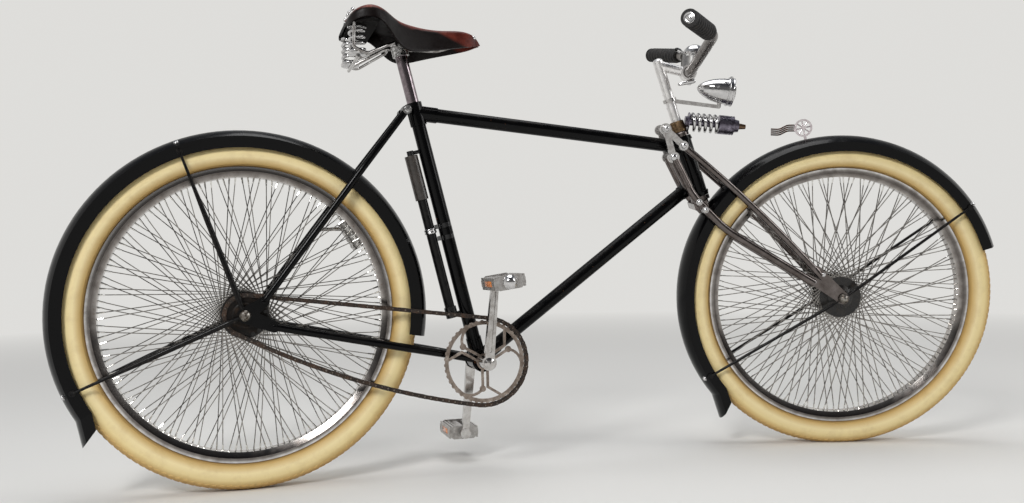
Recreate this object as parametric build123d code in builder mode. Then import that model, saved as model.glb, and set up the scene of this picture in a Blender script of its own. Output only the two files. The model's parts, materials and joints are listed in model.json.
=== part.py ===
import os
from math import acos, atan2, ceil, cos, hypot, pi, radians, sin, sqrt, tan

from build123d import *

os.makedirs("parts", exist_ok=True)

# The bicycle stands along X, front wheel at +X, left side at +Y. Lengths and heights below are measured
# from the rear hub's centre, and at() turns them into the part's frame, whose origin is on the saddle
# where the rider sits.
SEAT_X, SEAT_Z = 275.0, 598.0

# Wheels: radii from the hub's axis, widths as half widths
RIM_R, RIM_HALF, RIM_INNER = 286.0, 17.5, 14.5
RIM_SEAT, RIM_BED = RIM_R - 6.5, RIM_R - 20.0
TYRE_R, TYRE_W = RIM_R + 23.0, 29.5       # centre and half thickness of the tyre's section
TYRE_OUT = TYRE_R + TYRE_W
SPOKES = 144
FLANGE_R, SPOKE_HOLES_R, FLANGE_Y = 45.0, 41.0, 30.0
HUB_BORE, AXLE_R, HUB_HALF = 14.0, 5.0, 38.0

# Frame and steering
BB_X, BB_Z = TYRE_OUT + 130.1, -113.0
WHEELBASE = 1297.0
STEER_X = WHEELBASE - 236.5               # where the steering axis meets hub height
SEAT_ANGLE, HEAD_ANGLE = 76.6, 72.4
REST_STEER = -19.8                        # the front end stands turned to the right
TUBE_R, LUG = 14.3, 1.7
HEAD_LENGTH, HEAD_R, STEERER_R, CUP = 118.5, 18.0, 12.7, 10.0
SEAT_TOP, POST_R = 419.0, 12.5
RUNNING = 0.05                            # radial running clearance of every shaft

# Mudguards: outer radius and half width, from the tyre and its clearance
GUARD_R, GUARD_HALF, SHEET = TYRE_OUT + 19.5, TYRE_W + 8.5, 1.6

# Girder fork
BLADE_R, STRUT_R = 9.0, 7.5
BLADE_Y = GUARD_HALF + BLADE_R + 4.0
PLATE_Y0, PLATE_Y1 = BLADE_Y - 3.0, BLADE_Y + 3.0
CROWN_DROP, CROWN_BACK, CROWN_GAP = 24.0, 6.0, 17.0

# Drive
PITCH = 12.7
RING_TEETH, SPROCKET_TEETH = 44, 19
CHAIN_Y = -47.0
ROLLER_R, LINK_HALF = 3.9, 4.1            # roller's radius, half the height of a link plate
INNER_WIDTH, LINK_PLATE = 3.4, 1.0
CRANK, CRANK_LEAN = 165.0, 6.0


def at(x, y, z):
    """A point given from the rear hub's centre, in the part's frame."""
    return Vector(x - SEAT_X, y, z - SEAT_Z)


def seat_at(z, back=0.0):
    """A point of the seat tube's axis at a height over the hubs, or a distance behind it."""
    lean = radians(SEAT_ANGLE)
    return at(BB_X - (z - BB_Z) / tan(lean) - back * sin(lean), 0, z - back * cos(lean))


HEAD_UP = Vector(-cos(radians(HEAD_ANGLE)), 0, sin(radians(HEAD_ANGLE)))
HEAD_FORWARD = Vector(sin(radians(HEAD_ANGLE)), 0, cos(radians(HEAD_ANGLE)))
SEAT_UP = Vector(-cos(radians(SEAT_ANGLE)), 0, sin(radians(SEAT_ANGLE)))
STEERING = Axis(at(STEER_X, 0, 0), HEAD_UP)
BB = at(BB_X, 0, BB_Z)
REAR_HUB = at(0, 0, 0)
FRONT_HUB = at(WHEELBASE, 0, 0)
SIDE = Vector(0, 1, 0)

# The head stands as high as lets the fork's crown clear the front mudguard
under_crown = at(STEER_X, 0, 0) - HEAD_FORWARD * CROWN_BACK - FRONT_HUB
along = under_crown.dot(HEAD_UP)
crown_rise = sqrt((GUARD_R + CROWN_GAP) ** 2 - under_crown.length ** 2 + along ** 2) - along
HEAD_FOOT = at(STEER_X, 0, 0) + HEAD_UP * (crown_rise + CROWN_DROP)


def on_head(up, forward=0.0, y=0.0):
    """A point given from the head tube's lower end, along the steering axis and in front of it."""
    return HEAD_FOOT + HEAD_UP * up + HEAD_FORWARD * forward + SIDE * y


def round_hub(hub, angle, radius, y=0.0):
    """A point at an angle above the front, round a hub."""
    return hub + Vector(radius * cos(radians(angle)), y, radius * sin(radians(angle)))


def rod(start, end, radius, mode=Mode.ADD):
    """A round bar from one point to another, in the part that is open."""
    with BuildSketch(Plane(origin=start, z_dir=end - start)) as section:
        Circle(radius)
    extrude(section.sketch, amount=(end - start).length, mode=mode)


def across(centre, y0, y1, radius, mode=Mode.ADD):
    """A round bar parallel to the axles, from y0 to y1."""
    rod(Vector(centre.X, y0, centre.Z), Vector(centre.X, y1, centre.Z), radius, mode)


def side_plane(origin, y):
    """The plane of the bicycle's side at a width, X forward and Z up, seen from the right."""
    return Plane(origin=Vector(origin.X, y, origin.Z), x_dir=(1, 0, 0), z_dir=(0, -1, 0))


def plate(circles, y0, y1, mode=Mode.ADD):
    """A flat plate between y0 and y1 whose outline wraps round the circles (centre, radius)."""
    with BuildSketch(side_plane(Vector(0, 0, 0), y1)) as outline:
        for centre, radius in circles:
            with Locations((centre.X, centre.Z)):
                Circle(radius)
        make_hull()
    extrude(outline.sketch, amount=y1 - y0, mode=mode)


def bend_route(points, radii):
    """Straight runs joined by tangent arcs, in the line that is open."""
    start = points[0]
    for before, corner, after, radius in zip(points, points[1:], points[2:], radii):
        back, ahead = (before - corner).normalized(), (after - corner).normalized()
        half = radians((before - corner).get_angle(after - corner)) / 2
        leg = radius / tan(half)
        middle = corner + (back + ahead).normalized() * (radius / sin(half) - radius)
        Line(start, corner + back * leg)
        ThreePointArc(corner + back * leg, middle, corner + ahead * leg)
        start = corner + ahead * leg
    Line(start, points[-1])


def bent_rod(points, radii, radius):
    """A round bar along straight runs and tangent arcs."""
    with BuildLine() as route:
        bend_route(points, radii)
    with BuildSketch(Plane(origin=route.line @ 0, z_dir=route.line % 0)) as section:
        Circle(radius)
    sweep(sections=section.sketch, path=route.line)


def turned_profile(centre, axis_dir, points, mode=Mode.ADD):
    """A solid turned round an axis, from points (distance along the axis, radius)."""
    side = Vector(0, 1, 0) if abs(axis_dir.Y) < 0.5 else Vector(0, 0, 1)
    with BuildSketch(Plane(origin=centre, x_dir=axis_dir, z_dir=axis_dir.cross(side))) as half:
        with BuildLine():
            Polyline(*points, close=True)
        make_face()
    revolve(half.sketch, axis=Axis(centre, axis_dir), mode=mode)


def lug_sleeve(start, end, radius, reach):
    """A lug's socket round a tube's end, its mouth scooped out at both sides to leave two points."""
    way = (end - start).normalized()
    rod(start, start + way * reach, radius + LUG)
    mouth = start + way * (reach + 3)
    across(mouth, -2 * radius, 2 * radius, 0.7 * radius, Mode.SUBTRACT)
    rod(start, start + way * (reach + 3), radius, Mode.SUBTRACT)


def wire_coil(foot, way, height, turns, radius, wire):
    """A coil of wire in straight lengths, twelve to a turn, with a six-sided section."""
    other = way.cross(SIDE)
    points = []
    for step in range(round(12 * turns) + 1):
        turned = SIDE * cos(step * pi / 6) + other * sin(step * pi / 6)
        points.append(foot + way * (height * step / round(12 * turns)) + turned * radius)
    with BuildLine() as route:
        Polyline(*points)
    with BuildSketch(Plane(origin=points[0], z_dir=points[1] - points[0])) as section:
        RegularPolygon(wire, 6)
    sweep(sections=section.sketch, path=route.line, transition=Transition.RIGHT)


def save(piece, name):
    piece.part.label = name
    export_step(piece.part, f"parts/{name}.step")


def save_steered(piece, name):
    """Front-end pieces are drawn straight ahead and saved turned about the steering axis."""
    solid = piece.part.rotate(STEERING, REST_STEER)
    solid.label = name
    export_step(solid, f"parts/{name}.step")


# Wheels: tyre, rim, hub with its spokes, and the two bearings
def wheel(hub, save_piece):
    axle = Axis(hub, (0, 1, 0))
    section = Plane(origin=hub, x_dir=(0, 1, 0), z_dir=(1, 0, 0))

    shoulder = 23.4
    with BuildPart() as tyre:
        with BuildSketch(section):
            with BuildLine():
                Polyline((-shoulder, RIM_R + 5), (-RIM_INNER, RIM_R + 1), (-RIM_INNER, RIM_SEAT),
                         (RIM_INNER, RIM_SEAT), (RIM_INNER, RIM_R + 1), (shoulder, RIM_R + 5))
                ThreePointArc((shoulder, RIM_R + 5), (0, TYRE_OUT), (-shoulder, RIM_R + 5))
            make_face()
        revolve(axis=axle)
    save_piece(tyre, "tyre")

    with BuildPart() as rim:
        with BuildSketch(section):
            with BuildLine():
                Polyline((-RIM_HALF, RIM_R), (-RIM_INNER, RIM_R), (-RIM_INNER, RIM_SEAT),
                         (RIM_INNER, RIM_SEAT), (RIM_INNER, RIM_R), (RIM_HALF, RIM_R),
                         (RIM_HALF, RIM_R - 9), (11, RIM_BED), (-11, RIM_BED),
                         (-RIM_HALF, RIM_R - 9), close=True)
            make_face()
        revolve(axis=axle)
    save_piece(rim, "rim")

    # Half the spokes of each flange lead and half trail, each pair of rows at its own width
    spokes = []
    for row, (y_side, lean, y_hub, y_rim) in enumerate((
            (-1, -75, FLANGE_Y + 1.2, 5.5), (1, -75, FLANGE_Y + 1.2, 5.5),
            (-1, 75, FLANGE_Y - 1.2, 2.0), (1, 75, FLANGE_Y - 1.2, 2.0))):
        inner = round_hub(hub, lean, SPOKE_HOLES_R, y_side * y_hub)
        outer = hub + Vector(RIM_BED - 0.16, y_side * y_rim, 0)
        with BuildPart() as spoke:
            with BuildSketch(Plane(origin=inner, x_dir=SIDE.cross(outer - inner), z_dir=outer - inner)):
                Rectangle(1.8, 1.8)
            extrude(amount=(outer - inner).length)
        for number in range(SPOKES // 4):
            spokes.append(spoke.part.rotate(axle, number * 1440 / SPOKES + row * 360 / SPOKES))
    with BuildPart() as hub_shell:
        turned_profile(hub, SIDE, [
            (-HUB_HALF, HUB_BORE), (-HUB_HALF, 17), (-FLANGE_Y - 2, 27), (-FLANGE_Y - 2, FLANGE_R),
            (-FLANGE_Y + 2, FLANGE_R), (-FLANGE_Y + 2, 30), (FLANGE_Y - 2, 30), (FLANGE_Y - 2, FLANGE_R),
            (FLANGE_Y + 2, FLANGE_R), (FLANGE_Y + 2, 27), (HUB_HALF, 17), (HUB_HALF, HUB_BORE)])
        add(spokes)
    save_piece(hub_shell, "hub")

    with BuildPart() as bearings:
        for y0, y1 in ((-HUB_HALF, -FLANGE_Y), (FLANGE_Y, HUB_HALF)):
            across(hub, y0, y1, HUB_BORE)
            across(hub, y0, y1, AXLE_R + RUNNING, Mode.SUBTRACT)
    save_piece(bearings, "bearings")


wheel(REAR_HUB, lambda piece, name: save(piece, f"rear_{name}"))
wheel(FRONT_HUB, lambda piece, name: save_steered(piece, f"front_{name}"))

# Head tube with its two bearing cups and the lugs that hold the top tube and the down tube
TOP_JOINT, DOWN_JOINT = on_head(HEAD_LENGTH - 15.7), on_head(23.1)
SEAT_JOINT = seat_at(SEAT_TOP - 20)
SHELL_R, SHELL_HALF, LUG_REACH, CUP_R = 21.0, 34.0, 27.0, 22.5
with BuildPart() as head_tube:
    lug_sleeve(TOP_JOINT, SEAT_JOINT, TUBE_R, HEAD_R + LUG_REACH)
    lug_sleeve(DOWN_JOINT, BB, TUBE_R, HEAD_R + LUG_REACH)
    turned_profile(HEAD_FOOT, HEAD_UP, [
        (-CUP, 0), (-CUP, CUP_R - 1.5), (-3, CUP_R), (0, CUP_R), (0, HEAD_R + LUG), (42, HEAD_R + LUG),
        (42, HEAD_R), (HEAD_LENGTH - 34, HEAD_R), (HEAD_LENGTH - 34, HEAD_R + LUG),
        (HEAD_LENGTH, HEAD_R + LUG), (HEAD_LENGTH, CUP_R), (HEAD_LENGTH + 3, CUP_R),
        (HEAD_LENGTH + CUP, CUP_R - 1.5), (HEAD_LENGTH + CUP, 0)])
    rod(on_head(-CUP), on_head(HEAD_LENGTH + CUP), STEERER_R + RUNNING, Mode.SUBTRACT)
save(head_tube, "head_tube")

# Bottom bracket shell with a lug for each tube
with BuildPart() as bottom_bracket:
    lug_sleeve(BB, SEAT_JOINT, TUBE_R, SHELL_R + LUG_REACH)
    lug_sleeve(BB, DOWN_JOINT, TUBE_R, SHELL_R + LUG_REACH)
    for tube_end in (SEAT_JOINT, DOWN_JOINT):
        rod(BB, BB + (tube_end - BB).normalized() * 90, TUBE_R, Mode.SUBTRACT)
    across(BB, -SHELL_HALF, SHELL_HALF, SHELL_R)
    for y in (-SHELL_HALF, SHELL_HALF - 4):
        across(BB, y, y + 4, SHELL_R + 1.5)
    across(BB, -SHELL_HALF, SHELL_HALF, 8 + RUNNING, Mode.SUBTRACT)
save(bottom_bracket, "bottom_bracket")

# Seat tube, open at the top for the post, with the seat lug, its ears and the lug for the top tube
COLLAR_R, POST_HOLE, EAR_HALF, EAR_SLOT = TUBE_R + LUG + 1, 150.0, 9.0, 1.5
with BuildPart() as seat_tube:
    lug_sleeve(SEAT_JOINT, TOP_JOINT, TUBE_R, COLLAR_R + LUG_REACH)
    rod(seat_at(SEAT_TOP - 46), seat_at(SEAT_TOP), COLLAR_R)
    plate(((seat_at(SEAT_TOP - 9), 9), (seat_at(SEAT_TOP - 9, 21), 7)), -EAR_HALF, EAR_HALF)
    plate(((seat_at(SEAT_TOP - 2), 9), (seat_at(SEAT_TOP - 12, 32), 12)), -EAR_SLOT, EAR_SLOT, Mode.SUBTRACT)
    rod(BB, seat_at(SEAT_TOP), TUBE_R)
    across(BB, -40, 40, SHELL_R + 1.5, Mode.SUBTRACT)
    rod(seat_at(SEAT_TOP - POST_HOLE), seat_at(SEAT_TOP + 5), POST_R, Mode.SUBTRACT)
save(seat_tube, "seat_tube")

# Top tube and down tube, mitred to the tubes they meet
with BuildPart() as top_tube:
    rod(SEAT_JOINT, TOP_JOINT, TUBE_R)
    rod(seat_at(SEAT_TOP - 150), seat_at(SEAT_TOP + 80), COLLAR_R, Mode.SUBTRACT)
    rod(on_head(-60), on_head(HEAD_LENGTH + 60), HEAD_R + LUG, Mode.SUBTRACT)
    rod(on_head(HEAD_LENGTH), on_head(HEAD_LENGTH + CUP), CUP_R, Mode.SUBTRACT)
save(top_tube, "top_tube")

with BuildPart() as down_tube:
    rod(BB, DOWN_JOINT, TUBE_R)
    across(BB, -40, 40, SHELL_R + 1.5, Mode.SUBTRACT)
    rod(BB, SEAT_JOINT, TUBE_R + LUG, Mode.SUBTRACT)
    rod(on_head(-60), on_head(HEAD_LENGTH + 60), HEAD_R + LUG, Mode.SUBTRACT)
save(down_tube, "down_tube")

# Rear axle with its nuts, and the dropout plates, each bolted to a chain stay and a seat stay
DROPOUT_Y0, DROPOUT_Y1 = 57.0, 62.0
SEAT_STAY_BOLT, CHAIN_STAY_BOLT = at(34.6, 0, 24.5), at(53.2, 0, -23.2)
with BuildPart() as rear_axle:
    turned_profile(REAR_HUB, SIDE, [
        (-76, 0), (-75, 4), (-72, 8), (-68, 10.5), (-64, 10.5), (-64, AXLE_R), (-DROPOUT_Y0, AXLE_R),
        (-DROPOUT_Y0, 9), (-40, 9), (-40, AXLE_R), (40, AXLE_R), (40, 9), (DROPOUT_Y0, 9),
        (DROPOUT_Y0, AXLE_R), (64, AXLE_R), (64, 10.5), (68, 10.5), (72, 8), (75, 4), (76, 0)])
save(rear_axle, "rear_axle")

with BuildPart() as rear_dropouts:
    plate(((REAR_HUB, 15), (SEAT_STAY_BOLT, 10)), -DROPOUT_Y1, -DROPOUT_Y0)
    plate(((REAR_HUB, 15), (CHAIN_STAY_BOLT, 11)), -DROPOUT_Y1, -DROPOUT_Y0)
    plate(((REAR_HUB, AXLE_R), (at(-24, 0, -6), AXLE_R)), -DROPOUT_Y1, -DROPOUT_Y0, Mode.SUBTRACT)
    mirror(about=Plane.XZ)
save(rear_dropouts, "rear_dropouts")

# Chain stays and seat stays, curved round the tyre and slotted over the dropout plates
STAY_Y = (DROPOUT_Y0 + DROPOUT_Y1) / 2
with BuildPart() as chain_stays:
    bent_rod([BB + Vector(-15, -27, 4), BB + Vector(-82, -31, 19), BB + Vector(-162, -TYRE_W - 16, 36),
              CHAIN_STAY_BOLT - SIDE * STAY_Y], (90, 90), 8)
    across(BB, -40, 40, SHELL_R + 1.5, Mode.SUBTRACT)
    rod(BB, SEAT_JOINT, TUBE_R + LUG, Mode.SUBTRACT)
    across(CHAIN_STAY_BOLT, -66, -52, 8.2)
    mirror(about=Plane.XZ)
    across(BB + Vector(-84, 0, 20), -31, 31, 6)
    add(rear_dropouts.part, mode=Mode.SUBTRACT)
save(chain_stays, "chain_stays")

STAY_TOP = seat_at(SEAT_TOP - 12.8, 22.5)
with BuildPart() as seat_stays:
    bent_rod([STAY_TOP - SIDE * 24, round_hub(REAR_HUB, 50.8, GUARD_R + 8.7, -TYRE_W - 17),
              SEAT_STAY_BOLT - SIDE * STAY_Y], (120,), 7)
    across(SEAT_STAY_BOLT, -66, -52, 7.2)
    across(STAY_TOP, -31, -17.2, 9)
    mirror(about=Plane.XZ)
    across(STAY_TOP, -34, 34, 4)
    add(rear_dropouts.part, mode=Mode.SUBTRACT)
    add(seat_tube.part, mode=Mode.SUBTRACT)
save(seat_stays, "seat_stays")

# Chain: its pins are stepped a pitch apart round the sprocket and the chainring, and the slack lower run
# hangs as the arc that uses up the last link
SPROCKET_R = PITCH / 2 / sin(pi / SPROCKET_TEETH)
RING_R = PITCH / 2 / sin(pi / RING_TEETH)
SPAN, SLOPE = hypot(BB_X, BB_Z), atan2(BB_Z, BB_X)
STRAIGHT = 1e6


def outer_run(radius, side):
    """The arc of a circle that holds both toothed wheels: centre, and its angles at each of them."""
    near, far = radius - SPROCKET_R, radius - RING_R
    turn = SLOPE + side * acos((near ** 2 + SPAN ** 2 - far ** 2) / (2 * near * SPAN))
    x, z = near * cos(turn), near * sin(turn)
    return (x, z), atan2(-z, -x), atan2(BB_Z - z, BB_X - x)


def chain_loop(slack_r):
    """The loop's arcs, clockwise from the sprocket's top: centre, radius, first and last angle."""
    above, taut_start, taut_end = outer_run(STRAIGHT, -1)
    below, slack_end, slack_start = outer_run(slack_r, 1)
    return ((above, STRAIGHT, taut_start, taut_end), ((BB_X, BB_Z), RING_R, taut_end, slack_start),
            (below, slack_r, slack_start, slack_end), ((0, 0), SPROCKET_R, slack_end, taut_start - 2 * pi))


def loop_length(loop):
    return sum(radius * (first - last) for centre, radius, first, last in loop)


def loop_point(loop, distance):
    """The point at a distance along the loop."""
    for (x, z), radius, first, last in (*loop, loop[0]):
        angle = first - distance / radius
        if angle > last:
            break
        distance -= radius * (first - last)
    return x + radius * cos(angle), z + radius * sin(angle)


def step_pins(loop, count):
    """Pins a pitch apart, and the distance the last step reaches."""
    distance, pins = 0.0, [loop_point(loop, 0)]
    for number in range(count):
        x, z = pins[-1]
        distance += PITCH
        for correction in range(4):
            ahead = loop_point(loop, distance)
            distance += PITCH - hypot(ahead[0] - x, ahead[1] - z)
        pins.append(loop_point(loop, distance))
    return distance, pins


LINKS = 2 * ceil(loop_length(chain_loop(STRAIGHT)) / PITCH / 2)
low, high = SPAN, STRAIGHT
for halving in range(60):
    slack_r = sqrt(low * high)
    slack_loop = chain_loop(slack_r)
    reach, pins = step_pins(slack_loop, LINKS)
    low, high = (slack_r, high) if reach < loop_length(slack_loop) else (low, slack_r)
pins = pins[:LINKS]
links = []
for (x, z), (next_x, next_z) in zip(pins, pins[1:] + pins[:1]):
    links.append(Location((x, z, 0), (0, 0, atan2(next_z - z, next_x - x) * 180 / pi)))

LINK_SHAPES = (
    (links, INNER_WIDTH / 2, 0, [(ROLLER_R * cos(a * pi / 3), ROLLER_R * sin(a * pi / 3)) for a in range(6)]),
    (links[::2], INNER_WIDTH / 2 + LINK_PLATE, INNER_WIDTH / 2,
     [(-1.2, -3.9), (PITCH + 1.2, -3.9), (PITCH + 1.2, 3.9), (-1.2, 3.9)]),
    (links[1::2], INNER_WIDTH / 2 + 2 * LINK_PLATE, INNER_WIDTH / 2 + LINK_PLATE,
     [(-4, -1.8), (-1.2, -LINK_HALF), (PITCH + 1.2, -LINK_HALF), (PITCH + 4, -1.8),
      (PITCH + 4, 1.8), (PITCH + 1.2, LINK_HALF), (-1.2, LINK_HALF), (-4, 1.8)]))
with BuildPart() as chain:
    for places, outside, inside, outline in LINK_SHAPES:
        for y in ((CHAIN_Y + outside, CHAIN_Y - inside) if inside else (CHAIN_Y + outside,)):
            with BuildSketch(side_plane(REAR_HUB, y)) as layer:
                with Locations(*places):
                    Polygon(*outline, align=None)
            extrude(layer.sketch, amount=outside - inside if inside else 2 * outside)
save(chain, "chain")

# Sprocket on its freewheel body, its gaps cut to the pins that lie in them
FIRST_GAP = atan2(min(pins)[1], min(pins)[0]) * 180 / pi
with BuildPart() as sprocket:
    with BuildSketch(side_plane(REAR_HUB, CHAIN_Y + 1.3)) as toothed:
        Circle(SPROCKET_R + 3)
        with PolarLocations(SPROCKET_R, SPROCKET_TEETH, start_angle=FIRST_GAP):
            Polygon((0, -4.05), (7, -5.6), (7, 5.6), (0, 4.05), align=None, mode=Mode.SUBTRACT)
            Circle(4.05, mode=Mode.SUBTRACT)
        Circle(18, mode=Mode.SUBTRACT)
    extrude(toothed.sketch, amount=2.6)
    turned_profile(REAR_HUB, SIDE, [(-53, 9), (-53, 22), (-51.5, 24.5), (-43.5, 24.5), (-43.5, 9)])
save(sprocket, "sprocket")

# Crank: axle, toothed chainring on three open arms, and two arms that carry the pedal pins
RING_HALF, RING_INNER, ARM_BAR = 1.2, 75.5, 5.5
TOOTH_TIP, TOOTH_ROOT = RING_R - ROLLER_R - 0.3, RING_R - 6.0
FIRST_PIN = atan2(max(pins)[1] - BB_Z, max(pins)[0] - BB_X) * 180 / pi
RIGHT_Y, LEFT_Y, ARM_HALF, PIN_LONG = -78.0, 66.0, 6.0, 94.0
with BuildPart() as crank_axle:
    across(BB, RIGHT_Y - ARM_HALF, LEFT_Y + ARM_HALF, 8)
save(crank_axle, "crank_axle")

with BuildSketch() as ring_arm:
    with BuildLine() as straight_bar:
        Polyline((15, 5.3), (52, 5.3), (69.4, 33))
    trace(straight_bar.line, ARM_BAR)
    with BuildLine() as looped_bar:
        Line((15, -5.3), (55, -5.3))
        ThreePointArc((55, -5.3), (66.5, -25), (62, -49))
    trace(looped_bar.line, ARM_BAR)
    with Locations((55, -5.3)):
        Circle(6.5)
with BuildPart() as chainring:
    with BuildSketch(side_plane(BB, CHAIN_Y + RING_HALF)) as ring:
        Circle(TOOTH_ROOT)
        with PolarLocations(TOOTH_ROOT, RING_TEETH, start_angle=FIRST_PIN + 180 / RING_TEETH):
            Polygon((-2, -4.6), (TOOTH_TIP - TOOTH_ROOT, -2.2), (TOOTH_TIP - TOOTH_ROOT, 2.2), (-2, 4.6),
                    align=None)
        Circle(RING_INNER, mode=Mode.SUBTRACT)
        with PolarLocations(0, 3, start_angle=30):
            add(ring_arm.sketch)
        Circle(17)
        Circle(8, mode=Mode.SUBTRACT)
    extrude(ring.sketch, amount=2 * RING_HALF)
save(chainring, "chainring")

CRANK_WAY = Vector(sin(radians(CRANK_LEAN)), 0, cos(radians(CRANK_LEAN)))
RIGHT_EYE, LEFT_EYE = BB + CRANK_WAY * CRANK, BB - CRANK_WAY * CRANK
for name, eye, arm_y, inner in (("crank_right", RIGHT_EYE, RIGHT_Y, CHAIN_Y - RING_HALF),
                                ("crank_left", LEFT_EYE, LEFT_Y, 44)):
    way, outward = (eye - BB).normalized(), 1 if arm_y > 0 else -1
    face, cap = arm_y + outward * ARM_HALF, abs(arm_y) + ARM_HALF - 1
    with BuildPart() as arm:
        plate(((BB, 10), (eye, 7)), arm_y - ARM_HALF, arm_y + ARM_HALF)
        across(BB, *sorted((inner, face)), 15)
        across(eye, arm_y - ARM_HALF - 1, arm_y + ARM_HALF + 1, 11)
        # Lightening flute down the outer face
        flute = face - outward * 2.5
        plate(((BB + way * 24, 3), (BB + way * 148, 2.3)), *sorted((flute, face)), Mode.SUBTRACT)
        across(BB, -90, 90, 8, Mode.SUBTRACT)
        turned_profile(BB, SIDE * outward, [(cap, 0), (cap, 11), (cap + 2.5, 11), (cap + 5, 6),
                                            (cap + 5.5, 0)])
        across(BB, RIGHT_Y - ARM_HALF, LEFT_Y + ARM_HALF, 8, Mode.SUBTRACT)
        across(eye, *sorted((face, face + outward * PIN_LONG)), AXLE_R)
    save(arm, name)

# Pedals: two grooved blocks between cut-out end plates, round a barrel with a domed cap
PEDAL_LONG, PEDAL_HALF, END_PLATE, PEDAL_GAP, BARREL_R = 94.0, 32.0, 3.5, 6.0, 11.0
for name, eye, start, tilt in (("pedal_right", RIGHT_EYE, RIGHT_Y - ARM_HALF - PEDAL_GAP, 8),
                               ("pedal_left", LEFT_EYE, LEFT_Y + ARM_HALF + PEDAL_GAP, 0)):
    outward, cap = 1 if start > 0 else -1, abs(start) + PEDAL_LONG - 1
    deck = Plane(origin=Vector(eye.X, start, eye.Z), z_dir=(0, outward, 0),
                 x_dir=(-outward * cos(radians(tilt)), 0, -outward * sin(radians(tilt))))
    with BuildPart() as pedal:
        for depth in (0, PEDAL_LONG - END_PLATE):
            with BuildSketch(deck.offset(depth)) as end_plate:
                Polygon((-PEDAL_HALF, -6), (-PEDAL_HALF, 6), (-22, 14), (22, 14), (PEDAL_HALF, 6),
                        (PEDAL_HALF, -6), (22, -14), (-22, -14), align=None)
                with Locations((-21, 0), (21, 0)):
                    RectangleRounded(9, 13, 3, mode=Mode.SUBTRACT)
            extrude(end_plate.sketch, amount=END_PLATE)
        for side in (-1, 1):
            with BuildSketch(deck) as block:
                with Locations((side * 22.5, 0)):
                    Rectangle(17, 24)
                    with Locations((-4, 12), (4, 12), (-4, -12), (4, -12)):
                        Rectangle(2.6, 4, mode=Mode.SUBTRACT)
            extrude(block.sketch, amount=PEDAL_LONG)
            # Recess of a reflector in the block's outer face
            with BuildSketch(deck.offset(PEDAL_LONG / 2 - 25)) as recess:
                with Locations((side * 31, 0)):
                    Rectangle(4, 12)
            extrude(recess.sketch, amount=50, mode=Mode.SUBTRACT)
        across(eye, *sorted((start, start + outward * PEDAL_LONG)), BARREL_R)
        turned_profile(eye, SIDE * outward, [(cap, 0), (cap, 12), (cap + 4, 12), (cap + 8, 7), (cap + 9, 0)])
        pin_end = start + outward * (PIN_LONG - PEDAL_GAP + 2)
        across(eye, *sorted((start - outward, pin_end)), AXLE_R + RUNNING, Mode.SUBTRACT)
    save(pedal, name)


# Mudguards: deep valanced channels over the tyres, their rear ends straight and cut at a slant
def mudguard(hub, start, end, lip, tail):
    """Channel turned about the hub between two angles above the front, its tail run on straight."""
    edge, shoulder, skin = GUARD_HALF - 2, GUARD_R - 15, GUARD_HALF - SHEET
    for angle, straight in ((start, False), (end, True)):
        way = round_hub(Vector(0, 0, 0), angle, 1)
        with BuildSketch(Plane(origin=hub, x_dir=(0, 1, 0), z_dir=SIDE.cross(way))) as section:
            with BuildLine():
                Line((-edge, lip), (-GUARD_HALF, shoulder))
                ThreePointArc((-GUARD_HALF, shoulder), (0, GUARD_R), (GUARD_HALF, shoulder))
                Polyline((GUARD_HALF, shoulder), (edge, lip), (edge - SHEET, lip), (skin, shoulder - 0.6))
                ThreePointArc((skin, shoulder - 0.6), (0, GUARD_R - SHEET), (-skin, shoulder - 0.6))
                Polyline((-skin, shoulder - 0.6), (SHEET - edge, lip), (-edge, lip))
            make_face()
        if straight:
            extrude(section.sketch, amount=tail.length, dir=tail)
        else:
            revolve(section.sketch, axis=Axis(hub, (0, -1, 0)), revolution_arc=end - start)
    inner, outer = round_hub(hub, end, lip - 1) + tail, round_hub(hub, end, GUARD_R) + tail
    cut_back = inner - tail * 0.38
    with BuildSketch(side_plane(Vector(0, 0, 0), GUARD_HALF + 1)) as slant:
        Polygon((outer.X, outer.Z), (inner.X, inner.Z), (cut_back.X, cut_back.Z), align=None)
    extrude(slant.sketch, amount=2 * GUARD_HALF + 2, mode=Mode.SUBTRACT)


REAR_LIP, FRONT_LIP = GUARD_R - 37, GUARD_R - 35
with BuildPart() as rear_mudguard:
    mudguard(REAR_HUB, -9.3, 211.5, REAR_LIP, Vector(11.0, 0, -50.3))
save(rear_mudguard, "rear_mudguard")

with BuildPart() as front_mudguard:
    mudguard(FRONT_HUB, 18.4, 219.5, FRONT_LIP, Vector(17.6, 0, -53.5))
save_steered(front_mudguard, "front_mudguard")


# Mudguard stays: flat eyes on the axles and tapered bars to the guards' sides
def guard_stays(hub, eye_y, thick, ends):
    plate(((hub, 9),), -eye_y - 1, -eye_y + 1)
    for angle, back in ends:
        foot = round_hub(hub, angle, GUARD_R - back, -GUARD_HALF - 1.4)
        way, long = (foot - hub + SIDE * eye_y).normalized(), (foot - hub + SIDE * eye_y).length
        turned_profile(hub - SIDE * eye_y + way * 12, way, [
            (0, 0), (0, thick * 0.6), (20, thick), (long * 0.55, thick * 0.9), (long - 60, 3), (long - 12, 2.4),
            (long - 12, 0)])
        across(foot, -GUARD_HALF - 3.4, -GUARD_HALF + 1.6, 6)
    across(hub, -70, -40, AXLE_R, Mode.SUBTRACT)
    mirror(about=Plane.XZ)


with BuildPart() as rear_mudguard_stays:
    guard_stays(REAR_HUB, 63, 5.6, ((109.75, 26.5), (203.2, 26.0)))
    for neighbour in (rear_mudguard, rear_dropouts, rear_axle):
        add(neighbour.part, mode=Mode.SUBTRACT)
save(rear_mudguard_stays, "rear_mudguard_stays")

# Seat post, and the clamp that grips the saddle's wires on it
with BuildPart() as seat_post:
    rod(seat_at(SEAT_TOP - 119), seat_at(524), POST_R)
save(seat_post, "seat_post")

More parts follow.
